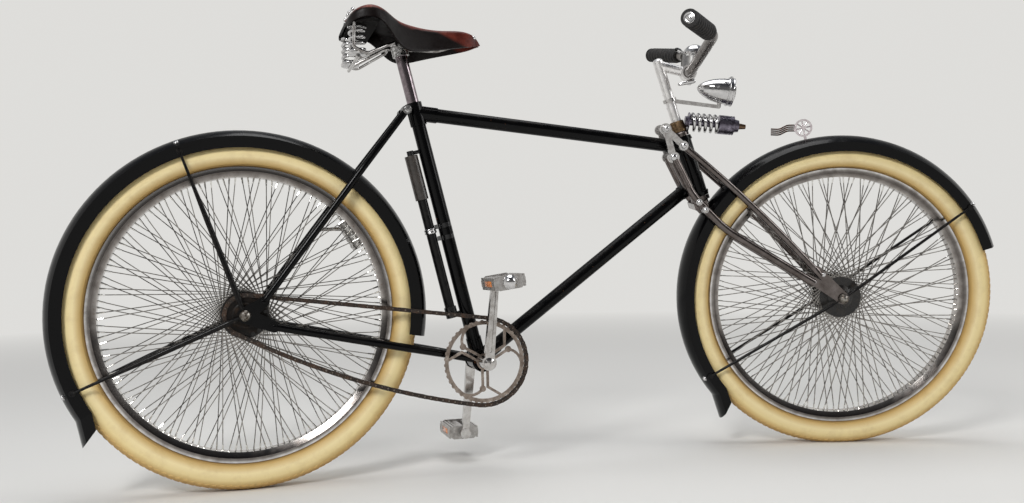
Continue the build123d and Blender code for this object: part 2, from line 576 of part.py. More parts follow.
CLAMP = seat_at(533)
with BuildPart() as saddle_clamp:
    rod(seat_at(514), seat_at(534), 17)
    across(CLAMP, -27, 27, 11)
    across(CLAMP, -38, 38, 4)
    for y in (-37, 29):
        across(CLAMP, y, y + 8, 8)
    add(seat_post.part, mode=Mode.SUBTRACT)
save(saddle_clamp, "saddle_clamp")

# The leather is a skin drawn over a steel cantle at the rear and a pin at the nose, open underneath
LEATHER = 5.0


def saddle_form(inset, low):
    """The saddle's outer form, or the space inside it when inset by the leather's thickness."""
    with BuildSketch(side_plane(REAR_HUB, 130)) as side:
        with BuildLine():
            Polyline((203, 580 - inset), (222, 600 - inset), (254, 613 - inset), (290, 598 - inset),
                     (341, 572 - inset), (400, 567 - inset), (440, 572 - inset), (468, 563 - inset),
                     (483, 545 - inset), *low, close=True)
        make_face()
    with BuildSketch(Plane(origin=at(0, 0, 430))) as plan:
        with BuildLine():
            Polyline((203, -60), (212, -92), (245, -106), (285, -92), (330, -52), (400, -28), (460, -22),
                     (483, -10), (483, 10), (460, 22), (400, 28), (330, 52), (285, 92), (245, 106),
                     (212, 92), (203, 60), close=True)
        make_face()
        if inset:
            offset(amount=-inset, kind=Kind.INTERSECTION)
    from_side = extrude(side.sketch, amount=260, mode=Mode.PRIVATE)
    return from_side & extrude(plan.sketch, amount=220, mode=Mode.PRIVATE)


outer_form = saddle_form(0, ((478, 538), (440, 533), (365, 517), (324, 508), (300, 525), (270, 553),
                             (207, 561)))
inner_form = saddle_form(LEATHER, ((483, 440), (203, 440)))
with BuildPart() as saddle_leather:
    add(outer_form)
    add(inner_form, mode=Mode.SUBTRACT)
save(saddle_leather, "saddle_leather")

# Saddle frame: cantle plate, nose pin, two wires to the clamp and a hairpin loop at each side
CANTLE_Z, NOSE_PIN = 562.0, at(452, 0, 548)
SPRING_X = 222.0
SPRING_FOOT = at(SPRING_X, 0, 497)
with BuildPart() as saddle_rails:
    with BuildSketch(Plane(origin=at(232, 0, CANTLE_Z - 2))) as cantle:
        Rectangle(60, 220)
    extrude(cantle.sketch, amount=4)
    rod(NOSE_PIN - SIDE * 30, NOSE_PIN + SIDE * 30, 4)
    add(inner_form, mode=Mode.INTERSECT)
    bent_rod([NOSE_PIN - SIDE * 14, at(400, -22, 533), at(290, -22, 533), SPRING_FOOT - SIDE * 38],
             (30, 30), 3.5)
    for y in (-86, -79.5):
        bent_rod([at(214, y, CANTLE_Z), at(212, y, 512), at(238, y, 500), at(296, y + 30, 531)], (9, 18), 2.5)
    rod(at(296, -57, 531), at(296, -20, 531), 3)
    mirror(about=Plane.XZ)
    rod(SPRING_FOOT - SIDE * 79, SPRING_FOOT + SIDE * 79, 3.5)
    add(saddle_leather.part, mode=Mode.SUBTRACT)
    add(saddle_clamp.part, mode=Mode.SUBTRACT)
save(saddle_rails, "saddle_rails")

# Coil springs between cups on the frame's rear bar and under the cantle
SPRING_TURNS, SPRING_WIRE, SPRING_CUP = 4.75, 2.8, 3.0
SPRING_LOW, SPRING_HIGH = SPRING_FOOT + Vector(0, -58, 3.5), at(SPRING_X, -58, CANTLE_Z - 2)
with BuildPart() as saddle_springs:
    coil_foot = SPRING_LOW + Vector(0, 0, SPRING_CUP)
    wire_coil(coil_foot, Vector(0, 0, 1), SPRING_HIGH.Z - SPRING_LOW.Z - 2 * SPRING_CUP, SPRING_TURNS, 15,
              SPRING_WIRE)
    rod(SPRING_LOW, coil_foot, 18)
    rod(SPRING_HIGH - Vector(0, 0, SPRING_CUP), SPRING_HIGH, 18)
    mirror(about=Plane.XZ)
save(saddle_springs, "saddle_springs")

# Pump behind the seat tube, between two pegs and held to it by a strap
PUMP_BACK = 32.0
with BuildPart() as pump_barrel:
    rod(seat_at(-6, PUMP_BACK), seat_at(228, PUMP_BACK), 10)
save(pump_barrel, "pump_barrel")

with BuildPart() as pump_handle:
    rod(seat_at(228, PUMP_BACK), seat_at(318, PUMP_BACK), 13.5)
save(pump_handle, "pump_handle")

with BuildPart() as pump_clips:
    rod(seat_at(-16, PUMP_BACK), seat_at(6, PUMP_BACK), 12.5)
    rod(seat_at(-10, PUMP_BACK), seat_at(-10), 4)
    rod(seat_at(318, PUMP_BACK), seat_at(328, PUMP_BACK), 7)
    rod(seat_at(323, PUMP_BACK), seat_at(323), 4)
    for z in (140, 164):
        with BuildSketch(Plane(origin=seat_at(z), x_dir=SIDE, z_dir=SEAT_UP)) as strap:
            for radius, mode in ((2.0, Mode.ADD), (0.1, Mode.SUBTRACT)):
                with BuildSketch(strap.workplanes[0], mode=Mode.PRIVATE) as loop:
                    Circle(TUBE_R + radius)
                    with Locations((0, PUMP_BACK)):
                        Circle(10 + radius)
                    make_hull()
                add(loop.sketch, mode=mode)
        extrude(strap.sketch, amount=9)
    add(seat_tube.part, mode=Mode.SUBTRACT)
    add(seat_post.part, mode=Mode.SUBTRACT)
    add(pump_barrel.part, mode=Mode.SUBTRACT)
save(pump_clips, "pump_clips")

# Bottle dynamo on the left seat stay, its roller beside the tyre
DYNAMO_Y = TYRE_W + 32.5
foot, cap, tip = (round_hub(REAR_HUB, angle, RIM_R - inside, DYNAMO_Y)
                  for angle, inside in ((28.5, 17.5), (41.7, 12.6), (45.7, 8.1)))
with BuildPart() as dynamo:
    rod(foot, cap, 17)
    for step in (0.1, 0.35, 0.6, 0.85):
        rod(foot + (cap - foot) * step, foot + (cap - foot) * (step + 0.08), 18.2)
    rod(cap, tip, 8)
    rod(tip, tip + (tip - cap).normalized() * 9, 11)
    rod(at(212, 60, 165), at(141, STAY_Y - 7.5, 165), 4)
    add(seat_stays.part, mode=Mode.SUBTRACT)
save(dynamo, "dynamo")

# Front axle and the plates it hangs in, notched between the blade's foot and the strut's
with BuildPart() as front_axle:
    turned_profile(FRONT_HUB, SIDE, [
        (-68, 0), (-67, 4), (-64, 8), (-60, 10.5), (-56, 10.5), (-56, AXLE_R), (-PLATE_Y0, AXLE_R),
        (-PLATE_Y0, 9), (-40, 9), (-40, AXLE_R), (40, AXLE_R), (40, 9), (PLATE_Y0, 9), (PLATE_Y0, AXLE_R),
        (56, AXLE_R), (56, 10.5), (60, 10.5), (64, 8), (67, 4), (68, 0)])
save_steered(front_axle, "front_axle")

BLADE_FOOT, STRUT_FOOT = FRONT_HUB + Vector(-64, -BLADE_Y, 34), FRONT_HUB + Vector(-50, -BLADE_Y, 50)
with BuildPart() as fork_plates:
    plate(((FRONT_HUB, 13), (FRONT_HUB + Vector(-81, 0, 48), 8)), -PLATE_Y1, -PLATE_Y0)
    plate(((FRONT_HUB, 13), (FRONT_HUB + Vector(-57, 0, 64), 8)), -PLATE_Y1, -PLATE_Y0)
    across(FRONT_HUB, -60, -40, AXLE_R, Mode.SUBTRACT)
    mirror(about=Plane.XZ)
save_steered(fork_plates, "fork_plates")

# Rear blades: fluted from the castings to the crown's bolts, then round down to the plates
REAR_FOOT = on_head(92.2, -35.9, -BLADE_Y)
FRONT_FOOT, TOP_BOSS = on_head(109.5, -7.9, -BLADE_Y), on_head(156.6, -33.9)
KNEE = on_head(0.5, -21.5, -BLADE_Y)
FLUTE_SIDE = (KNEE - REAR_FOOT).normalized().cross(SIDE)
with BuildPart() as fork_blades:
    bent_rod([REAR_FOOT, KNEE, FRONT_HUB + Vector(-260, -BLADE_Y, 155), BLADE_FOOT], (150, 200), BLADE_R)
    rod(REAR_FOOT, REAR_FOOT + (KNEE - REAR_FOOT) * 0.8, BLADE_R + 1.5)
    for across_blade in (-4.2, 4.2):
        groove = FLUTE_SIDE * across_blade - SIDE * (BLADE_R + 2.5)
        rod(REAR_FOOT + groove, REAR_FOOT + groove + (KNEE - REAR_FOOT) * 0.8, 3, Mode.SUBTRACT)
    for up, forward in ((-18.0, -12.7), (-38.3, -4.9)):
        across(on_head(up, forward), -BLADE_Y - BLADE_R - 3, -BLADE_Y, 8)
    mirror(about=Plane.XZ)
    add(fork_plates.part, mode=Mode.SUBTRACT)
save_steered(fork_blades, "fork_blades")

with BuildPart() as fork_struts:
    with BuildLine() as strut_line:
        ThreePointArc(FRONT_FOOT, FRONT_HUB + Vector(-197, -BLADE_Y, 201), STRUT_FOOT)
    with BuildSketch(Plane(origin=strut_line.line @ 0, z_dir=strut_line.line % 0)):
        Circle(STRUT_R)
    sweep(path=strut_line.line)
    mirror(about=Plane.XZ)
    add(fork_plates.part, mode=Mode.SUBTRACT)
save_steered(fork_struts, "fork_struts")

# Castings: an open V at each side from a pin behind the head down to the blade and the strut
with BuildPart() as fork_castings:
    for end, radius in ((REAR_FOOT, 12.5), (FRONT_FOOT, 10.5)):
        plate(((TOP_BOSS, 7), (end, 7)), -BLADE_Y - 5, -BLADE_Y + 5)
        across(end, -BLADE_Y - 8, -BLADE_Y + 7, radius)
    across(TOP_BOSS, -BLADE_Y - 8, -BLADE_Y + 6, 12)
    mirror(about=Plane.XZ)
    for blades in (fork_blades, fork_struts):
        add(blades.part, mode=Mode.SUBTRACT)
    across(TOP_BOSS, -BLADE_Y - 14, BLADE_Y + 14, 5)
save_steered(fork_castings, "fork_castings")

# Crown under the head, on the steerer, with the bolt that holds the mudguard
STEERER_TOP = HEAD_LENGTH + CUP + 12
with BuildPart() as fork_crown:
    turned_profile(HEAD_FOOT, HEAD_UP, [
        (-28, 0), (-28, 16), (-CUP - 10, 16), (-CUP - 10, 21), (-CUP - 1, 21), (-CUP - 1, STEERER_R),
        (HEAD_LENGTH + CUP + 1, STEERER_R), (HEAD_LENGTH + CUP + 1, 19), (STEERER_TOP - 4, 19),
        (STEERER_TOP, 15.5), (STEERER_TOP, 11.1), (HEAD_LENGTH - 60, 11.1), (HEAD_LENGTH - 60, 0)])
    with BuildSketch(Plane(origin=on_head(-CUP - 10, -9), x_dir=HEAD_FORWARD, z_dir=HEAD_UP)) as bridge:
        Rectangle(30, 2 * BLADE_Y)
    extrude(bridge.sketch, amount=-14)
    add(fork_blades.part, mode=Mode.SUBTRACT)
    bolt_way = (on_head(-CROWN_DROP, -CROWN_BACK) - FRONT_HUB).normalized()
    rod(FRONT_HUB + bolt_way * GUARD_R, FRONT_HUB + bolt_way * (GUARD_R + CROWN_GAP), 5)
save_steered(fork_crown, "fork_crown")

with BuildPart() as steering_nut:
    turned_profile(on_head(STEERER_TOP), HEAD_UP, [
        (0, 11.15), (0, 17), (9, 17), (9, 15.5), (22, 15.5), (24, 14), (24, 11.15)])
save_steered(steering_nut, "steering_nut")

# Shock in front of the head: an open coil behind a ribbed can
SHOCK_TILT = 23.5
SHOCK_WAY = HEAD_FORWARD * cos(radians(SHOCK_TILT)) - HEAD_UP * sin(radians(SHOCK_TILT))
SHOCK_REAR = on_head(155.1, 26.0)
COIL_LONG, COIL_R, COIL_WIRE, COIL_TURNS = 66.0, 18.0, 3.9, 4.75
with BuildPart() as shock_body:
    turned_profile(SHOCK_REAR, SHOCK_WAY, [
        (-9, 0), (-9, 12), (-2, 12), (-2, 21), (0, 21), (0, 7.9), (COIL_LONG, 7.9), (COIL_LONG, 21),
        (88, 21), (88, 20), (91, 20), (91, 21), (94, 21), (94, 20), (97, 20), (97, 21), (99, 21), (99, 15),
        (110, 13), (110, 7), (126, 5), (126, 0)])
    for neighbour in (fork_crown, steering_nut):
        add(neighbour.part, mode=Mode.SUBTRACT)
save_steered(shock_body, "shock_body")

with BuildPart() as shock_spring:
    wire_coil(SHOCK_REAR + SHOCK_WAY * COIL_WIRE, SHOCK_WAY, COIL_LONG - 2 * COIL_WIRE, COIL_TURNS, COIL_R,
              COIL_WIRE)
save_steered(shock_spring, "shock_spring")

# Stem with its clamp and pinch bolt, handlebar, grips and bell
BAR_CENTRE = on_head(258.1, 56.0)
BAR_R, CLAMP_R, STEM_R = 11.1, 12.7, 11.1
with BuildPart() as stem:
    rod(on_head(88.1), on_head(304), STEM_R)
    turned_profile(on_head(304), HEAD_UP, [(0, 0), (0, STEM_R), (3, 9), (5, 5), (5.5, 0)])
    for up in (196, 226):
        rod(on_head(up), on_head(up + 3), STEM_R + 1.2)
    rod(on_head(293.8), BAR_CENTRE, STEM_R)
    across(BAR_CENTRE, -19, 19, 17)
    pinch = BAR_CENTRE - HEAD_UP * 20
    rod(BAR_CENTRE, pinch - HEAD_UP * 4, 8)
    across(pinch, -17, 17, 5)
    across(BAR_CENTRE, -19, 19, CLAMP_R, Mode.SUBTRACT)
save_steered(stem, "stem")

with BuildPart() as handlebar:
    half = [BAR_CENTRE + Vector(dx, -y, dz) for dx, y, dz in ((-44, 324, 74), (23, 192, 57), (0, 44, 0))]
    bent_rod([*half, *(Vector(p.X, -p.Y, p.Z) for p in reversed(half))], (42, 60, 60, 42), BAR_R)
    across(BAR_CENTRE, -19, 19, CLAMP_R)
save_steered(handlebar, "handlebar")

with BuildPart() as grips:
    run = (half[1] - half[0]).normalized()
    rod(half[0] - run * 4, half[0] + run * 118, 16)
    rod(half[0] - run * 4, half[0], 17)
    rod(half[0], half[0] + run * 120, BAR_R, Mode.SUBTRACT)
    mirror(about=Plane.XZ)
save_steered(grips, "grips")

BELL_FOOT = BAR_CENTRE + Vector(5, -62, 31)
with BuildPart() as bell:
    turned_profile(BELL_FOOT, Vector(0, 0, 1), [
        (-14, 0), (-14, 5), (0, 5), (0, 18), (5, 18), (5, 24), (8, 24), (14, 21.5), (20, 15), (23, 8),
        (24, 0)])
    rod(BELL_FOOT + Vector(-8, 0, 2), BELL_FOOT + Vector(-34, -6, 11), 2)
    rod(BELL_FOOT + Vector(-31, -6, 10), BELL_FOOT + Vector(-38, -6, 13), 4.5)
    add(handlebar.part, mode=Mode.SUBTRACT)
save_steered(bell, "bell")

# Headlamp with a row of vents under its rim, on a flat link bracket
LAMP_TIP, LAMP_FACE = BAR_CENTRE + Vector(20, 0, -33), BAR_CENTRE + Vector(99, 0, -44)
LAMP_WAY = (LAMP_FACE - LAMP_TIP).normalized()
LAMP_DOWN = LAMP_WAY.cross(SIDE)
with BuildPart() as headlamp:
    turned_profile(LAMP_TIP, LAMP_WAY, [
        (0, 0), (2, 5), (7, 10.5), (14, 15.5), (24, 20.5), (34, 24), (46, 26.7), (58, 28.2), (66, 28.6),
        (66, 30.5), (80, 30.5), (80, 26), (74, 26), (74, 0)])
    for turn in (-50, -30, -10, 10, 30, 50):
        way = LAMP_DOWN * cos(radians(turn)) + SIDE * sin(radians(turn))
        rod(LAMP_TIP + LAMP_WAY * 57 + way * 25, LAMP_TIP + LAMP_WAY * 57 + way * 33, 2, Mode.SUBTRACT)
save_steered(headlamp, "headlamp")

with BuildPart() as headlamp_lens:
    turned_profile(LAMP_TIP, LAMP_WAY, [(74, 0), (74, 26), (80, 26), (84, 18), (86, 0)])
save_steered(headlamp_lens, "headlamp_lens")

LINK_END = BAR_CENTRE + Vector(69, 0, -75)
with BuildPart() as lamp_bracket:
    rod(on_head(209), on_head(217), 15)
    plate(((on_head(213), 4.5), (LINK_END, 4)), -2.5, 2.5)
    rod(LINK_END, LINK_END + Vector(0, 0, 26), 4.5)
    rod(on_head(213, 0, -19), on_head(213, 0, 19), 3)
    add(stem.part, mode=Mode.SUBTRACT)
    add(headlamp.part, mode=Mode.SUBTRACT)
save_steered(lamp_bracket, "lamp_bracket")

with BuildPart() as front_mudguard_stays:
    guard_stays(FRONT_HUB, 55, 3.6, ((35.8, 20.0), (211.8, 22.0)))
    for neighbour in (front_mudguard, fork_plates, front_axle):
        add(neighbour.part, mode=Mode.SUBTRACT)
save_steered(front_mudguard_stays, "front_mudguard_stays")

# Marker on the front mudguard: a spoked ring on a stalk, with four rods trailing back from it
MARK = round_hub(FRONT_HUB, 102.1, GUARD_R + 25.7)
with BuildPart() as mudguard_marker:
    across(MARK, -3, 3, 19.5)
    across(MARK, -3, 3, 15.5, Mode.SUBTRACT)
    for turn in (12, 57, 102, 147):
        rod(MARK + round_hub(Vector(0, 0, 0), turn, -17), MARK + round_hub(Vector(0, 0, 0), turn, 17), 1.6)
    across(MARK, -4, 4, 5)
    rod(round_hub(FRONT_HUB, 102.1, GUARD_R - 1), round_hub(FRONT_HUB, 102.1, GUARD_R + 8), 3)
    for rise in (-6.3, -2.1, 2.1, 6.3):
        root = MARK + Vector(-17, 0, rise)
        bent_rod([root, root + Vector(-18, 0, 0), root + Vector(-36, 0, -9), root + Vector(-54, 0, -8)],
                 (20, 20), 1.6)
    add(front_mudguard.part, mode=Mode.SUBTRACT)
save_steered(mudguard_marker, "mudguard_marker")
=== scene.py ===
import json
from math import acos, atan2, cos, hypot, pi, radians, sin, sqrt

import bmesh
import bpy
from mathutils import Matrix, Vector


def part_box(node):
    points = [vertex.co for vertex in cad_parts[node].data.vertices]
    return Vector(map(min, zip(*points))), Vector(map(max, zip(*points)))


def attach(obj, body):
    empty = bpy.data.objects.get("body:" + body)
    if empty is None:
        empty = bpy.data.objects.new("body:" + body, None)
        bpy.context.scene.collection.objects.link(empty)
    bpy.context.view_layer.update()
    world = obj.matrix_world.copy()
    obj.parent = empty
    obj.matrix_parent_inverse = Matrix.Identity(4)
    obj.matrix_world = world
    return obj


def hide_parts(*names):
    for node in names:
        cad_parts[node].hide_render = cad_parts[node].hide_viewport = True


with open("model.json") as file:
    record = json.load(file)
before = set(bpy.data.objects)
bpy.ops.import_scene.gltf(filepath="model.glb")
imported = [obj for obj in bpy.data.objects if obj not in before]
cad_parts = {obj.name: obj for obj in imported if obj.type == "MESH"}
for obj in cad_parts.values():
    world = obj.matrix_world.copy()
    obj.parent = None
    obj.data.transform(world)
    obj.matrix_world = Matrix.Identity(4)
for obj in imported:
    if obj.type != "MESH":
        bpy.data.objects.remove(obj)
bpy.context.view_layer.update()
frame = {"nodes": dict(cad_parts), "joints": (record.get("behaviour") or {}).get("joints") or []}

# Camera
# It stands 1.9 m to the right of the bicycle's middle plane, 0.1 m higher than its hubs, and is turned 17
# degrees towards the front wheel.


def placed(name, data):
    """An object in the scene's collection."""
    item = bpy.data.objects.new(name, data)
    bpy.context.scene.collection.objects.link(item)
    return item


eye = bpy.data.cameras.new("eye")
eye.lens = 33.45
eye.sensor_width = 36
eye.clip_start, eye.clip_end = 0.05, 200
camera = placed("eye", eye)
camera.location = (-0.30551, -1.92559, -0.49959)
camera.rotation_euler = (radians(90.345), radians(1.348), radians(-16.666))
bpy.context.scene.camera = camera
bpy.context.scene.view_settings.view_transform = "Standard"

# Floor and studio light
# A pale paper floor that runs into a backdrop of the same colour, a large soft lamp at the camera's left,
# one overhead and a weak one at the right. Behind the camera the room is dark, which plated metal reflects.
MM = 0.001


def linear(hex_colour):
    """An sRGB hex colour as the linear RGBA that the shaders take."""
    parts = [int(hex_colour[i:i + 2], 16) / 255 for i in (1, 3, 5)]
    return [p / 12.92 if p <= 0.04045 else ((p + 0.055) / 1.055) ** 2.4 for p in parts] + [1.0]


def add_node(tree, kind, inputs=None, **settings):
    """Adds a shader node, sets it up, and fills or links its inputs."""
    node = tree.nodes.new(kind)
    for key, value in settings.items():
        setattr(node, key, value)
    for socket, value in (inputs or {}).items():
        if isinstance(value, bpy.types.NodeSocket):
            tree.links.new(value, node.inputs[socket])
        else:
            node.inputs[socket].default_value = value
    return node


def new_material(name, **constants):
    """A material with its shader's constants, and the tree, shader and object coordinates to build on."""
    material = bpy.data.materials.new(name)
    material.use_nodes = True
    tree = material.node_tree
    shader = tree.nodes["Principled BSDF"]
    for socket, value in constants.items():
        shader.inputs[socket.replace("_", " ")].default_value = value
    place = tree.nodes.new("ShaderNodeTexCoord").outputs["Object"]
    return material, tree, shader, place


def colours(tree, factor, *stops):
    """A colour ramp through (position, hex colour) stops."""
    ramp = add_node(tree, "ShaderNodeValToRGB", {0: factor})
    while len(ramp.color_ramp.elements) < len(stops):
        ramp.color_ramp.elements.new(0.5)
    for element, (position, hex_colour) in zip(ramp.color_ramp.elements, stops):
        element.position, element.color = position, linear(hex_colour)
    return ramp.outputs[0]


def rescaled(tree, value, low, high, to_low=0.0, to_high=1.0):
    """A value moved from one range to another and held inside it."""
    inputs = {0: value, 1: low, 2: high, 3: to_low, 4: to_high}
    return add_node(tree, "ShaderNodeMapRange", inputs).outputs[0]


def maths(tree, operation, *values, **settings):
    """A sum, product or other operation on values."""
    node = add_node(tree, "ShaderNodeMath", dict(enumerate(values)), operation=operation, **settings)
    return node.outputs[0]


def vectors(tree, operation, *values):
    """An operation on vectors. A length, a distance and a dot product come out as a value."""
    node = add_node(tree, "ShaderNodeVectorMath", dict(enumerate(values)), operation=operation)
    return node.outputs["Value" if operation in ("LENGTH", "DISTANCE", "DOT_PRODUCT") else "Vector"]


def mixed(tree, share, first, second, **settings):
    """Two colours mixed, by the second one's share."""
    inputs = {0: share, 6: first, 7: second}
    return add_node(tree, "ShaderNodeMix", inputs, data_type="RGBA", **settings).outputs[2]


BACKDROP, ROOM_STRENGTH = "#e9e8e5", 0.9
floor_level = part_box("rear_tyre")[0].z
bpy.ops.object.select_all(action="DESELECT")
bpy.ops.mesh.primitive_plane_add(size=120, location=(0, 0, floor_level - 0.5 * MM))
floor = bpy.context.object
floor.name = "floor"
paper, tree, shader, place = new_material("studio_paper", Roughness=0.9, Base_Color=linear("#dedddA"))
floor.data.materials.append(paper)
away = vectors(tree, "LENGTH", place)
rays = tree.nodes.new("ShaderNodeLightPath")
seen = maths(tree, "MAXIMUM", rays.outputs["Is Camera Ray"], rays.outputs["Is Glossy Ray"])
seen = maths(tree, "MAXIMUM", seen, rays.outputs["Is Transmission Ray"])
glow = maths(tree, "MULTIPLY", seen, ROOM_STRENGTH)
backdrop = add_node(tree, "ShaderNodeEmission", {"Color": linear(BACKDROP), "Strength": glow})
far_off = rescaled(tree, away, 1.2, 5.5)
fade = add_node(tree, "ShaderNodeMixShader", {0: far_off, 1: shader.outputs[0], 2: backdrop.outputs[0]})
tree.links.new(fade.outputs[0], tree.nodes["Material Output"].inputs["Surface"])

world = bpy.data.worlds.new("studio")
world.use_nodes = True
bpy.context.scene.world = world
tree = world.node_tree
direction = tree.nodes.new("ShaderNodeTexCoord").outputs["Generated"]
toward = add_node(tree, "ShaderNodeSeparateXYZ", {0: direction})
walls = colours(tree, toward.outputs["Z"], (0.0, BACKDROP), (0.34, BACKDROP), (0.8, "#777b82"))
# What the camera sees directly stays pale from every side
unseen = maths(tree, "SUBTRACT", 0.85, tree.nodes.new("ShaderNodeLightPath").outputs["Is Camera Ray"],
               use_clamp=True)
behind_camera = rescaled(tree, toward.outputs["Y"], -0.15, -0.55)
behind_camera = maths(tree, "MULTIPLY", behind_camera, unseen)
walls = mixed(tree, behind_camera, walls, linear("#1d1d22"))
tree.links.new(walls, tree.nodes["Background"].inputs["Color"])
tree.nodes["Background"].inputs["Strength"].default_value = ROOM_STRENGTH

LAMPS = (("key", (-2.6, -3.2, 2.4), 1.3, 140), ("overhead", (0.4, 0.2, 3.2), 2.6, 75),
         ("right", (3.4, -1.6, 1.2), 1.6, 30))
for name, where, size, power in LAMPS:
    lamp = bpy.data.lights.new(name, "AREA")
    lamp.shape, lamp.size, lamp.energy = "SQUARE", size, power
    light = placed(name, lamp)
    light.location = where
    light.rotation_euler = (Vector((0.3, 0, -0.5)) - Vector(where)).to_track_quat("-Z", "Y").to_euler()

# Frame
# Steel tubes brazed into lugs and stove-enamelled black. The enamel is glossy, with a little dust on what
# faces up, fine scratches, and small chips through to rusty steel.


def noise(tree, place, size, detail, **more):
    """Noise whose largest features have a size in millimetres."""
    inputs = {"Vector": place, "Scale": 1 / (size * MM), "Detail": detail, **more}
    return add_node(tree, "ShaderNodeTexNoise", inputs).outputs["Fac"]


def facing_up(tree):
    """How far a surface faces up, from -1 to 1."""
    normal = tree.nodes.new("ShaderNodeNewGeometry").outputs["Normal"]
    return add_node(tree, "ShaderNodeSeparateXYZ", {0: normal}).outputs["Z"]


def feed(tree, shader, **values):
    """Links values to the shader's inputs."""
    for socket, value in values.items():
        tree.links.new(value, shader.inputs[socket.replace("_", " ")])


def emboss(tree, shader, height, strength, deep, coat=False):
    """Makes a surface uneven, to a depth in millimetres, and its coat with it where it has one."""
    inputs = {"Height": height, "Strength": strength, "Distance": deep * MM}
    relief = add_node(tree, "ShaderNodeBump", inputs)
    for socket in ("Normal", "Coat Normal") if coat else ("Normal",):
        tree.links.new(relief.outputs[0], shader.inputs[socket])


def dress(material, *names):
    """Gives CAD nodes their finish."""
    for name in names:
        piece = frame["nodes"][name]
        piece.data.materials.clear()
        piece.data.materials.append(material)


enamel, tree, shader, place = new_material("black_stove_enamel", Coat_Weight=0.05, Coat_Roughness=0.06,
                                           Specular_IOR_Level=0.14)
dust = noise(tree, place, 22, 6.0)
lying = rescaled(tree, facing_up(tree), -0.2, 1.0, 0.2, 1.0)
cover = maths(tree, "MULTIPLY", dust, lying)
chip_noise = noise(tree, place, 9, 3.0, Roughness=0.62)
chip = rescaled(tree, chip_noise, 0.725, 0.74)
clean = colours(tree, cover, (0.25, "#040405"), (0.8, "#1c1916"))
worn = mixed(tree, chip, clean, linear("#6e4a35"))
rough = maths(tree, "MAXIMUM", rescaled(tree, cover, 0.15, 0.7, 0.16, 0.5), chip)
feed(tree, shader, Base_Color=worn, Roughness=rough)
emboss(tree, shader, noise(tree, place, 3, 4.0), 0.06, 0.3, coat=True)
dress(enamel, "head_tube", "bottom_bracket", "seat_tube", "top_tube", "down_tube", "rear_dropouts",
      "chain_stays", "seat_stays")

# Frame bolts
# Steel bolts with chamfered hexagon heads. Those of the seat lug and the stay cluster are plated, dulled by
# old grease, and the four that hold the stays on the dropout plates are enamelled with the frame.


def weathered(name, size, detail, tones, gloss, unevenness=0.5, pits=None, **constants):
    """A material whose colour and roughness follow a film of dirt or tarnish, with rusty pits if given."""
    material, tree, shader, place = new_material(name, **constants)
    film = noise(tree, place, size, detail, Roughness=unevenness)
    tone = colours(tree, film, *tones)
    if pits:
        pit_size, pit_detail, low, high, share, rust = pits
        pitted = rescaled(tree, noise(tree, place, pit_size, pit_detail), low, high, 0.0, share)
        tone = mixed(tree, pitted, tone, linear(rust))
    feed(tree, shader, Base_Color=tone)
    if gloss:
        feed(tree, shader, Roughness=rescaled(tree, film, *gloss))
    return material


plate_steel = weathered("plated_bolt_steel", 5, 5.0, ((0.3, "#6b6660"), (0.62, "#d8d8d8")),
                        (0.3, 0.6, 0.5, 0.18), Metallic=1.0)
REAR_HUB_X, REAR_HUB_Z = -275, -598


def at(x, y, z):
    """A point given in millimetres from the rear hub's centre."""
    return Vector((x + REAR_HUB_X, y, z + REAR_HUB_Z)) * MM


SEAT_ANGLE, BB_X, BB_Z = radians(76.6), 468.6, -113.0
BB = at(BB_X, 0, BB_Z)
SEAT_UP = Vector((-cos(SEAT_ANGLE), 0, sin(SEAT_ANGLE)))
SEAT_BACK = Vector((-sin(SEAT_ANGLE), 0, -cos(SEAT_ANGLE)))
ACROSS = Vector((0, 1, 0))


def seat_point(height, back=0.0, y=0.0):
    """A point of the seat tube's axis at a height over the hubs, and a distance behind it."""
    return BB + SEAT_UP * ((height - BB_Z) / sin(SEAT_ANGLE) * MM) + SEAT_BACK * back * MM + ACROSS * y * MM


def settle(name, material, body, sharp=35):
    """Names the piece just made, puts its place in its mesh, and lets it ride on a body."""
    piece = bpy.context.object
    piece.name = name
    bpy.ops.object.transform_apply(location=True, rotation=True, scale=True)
    bpy.ops.object.shade_smooth_by_angle(angle=radians(sharp))
    piece.data.materials.clear()
    piece.data.materials.append(material)
    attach(piece, body)
    return piece


def finish(piece, kind, **settings):
    """Adds a modifier to a piece and applies it."""
    modifier = piece.modifiers.new(kind.lower(), kind)
    for key, value in settings.items():
        setattr(modifier, key, value)
    bpy.context.view_layer.objects.active = piece
    bpy.ops.object.modifier_apply(modifier=modifier.name)


def head(name, seat, way, radius, high, material, body, sides=6):
    """A bolt's or nut's head that stands on a surface, over its washer. A dome has 20 sides."""
    bpy.ops.object.select_all(action="DESELECT")
    turn = way.to_track_quat("Z", "Y").to_euler()
    thin = 1.2 * MM
    bpy.ops.mesh.primitive_cylinder_add(vertices=20, radius=radius * 1.25, depth=thin, rotation=turn,
                                        location=seat + way * thin / 2)
    washer = bpy.context.object
    bpy.ops.mesh.primitive_cylinder_add(vertices=sides, radius=radius, depth=high, rotation=turn,
                                        location=seat + way * (thin + high / 2))
    shaped = bpy.context.object
    finish(shaped, "BEVEL", width=high * (0.7 if sides > 6 else 0.2), segments=4 if sides > 6 else 2)
    washer.select_set(True)
    bpy.ops.object.join()
    return settle(name, material, body)


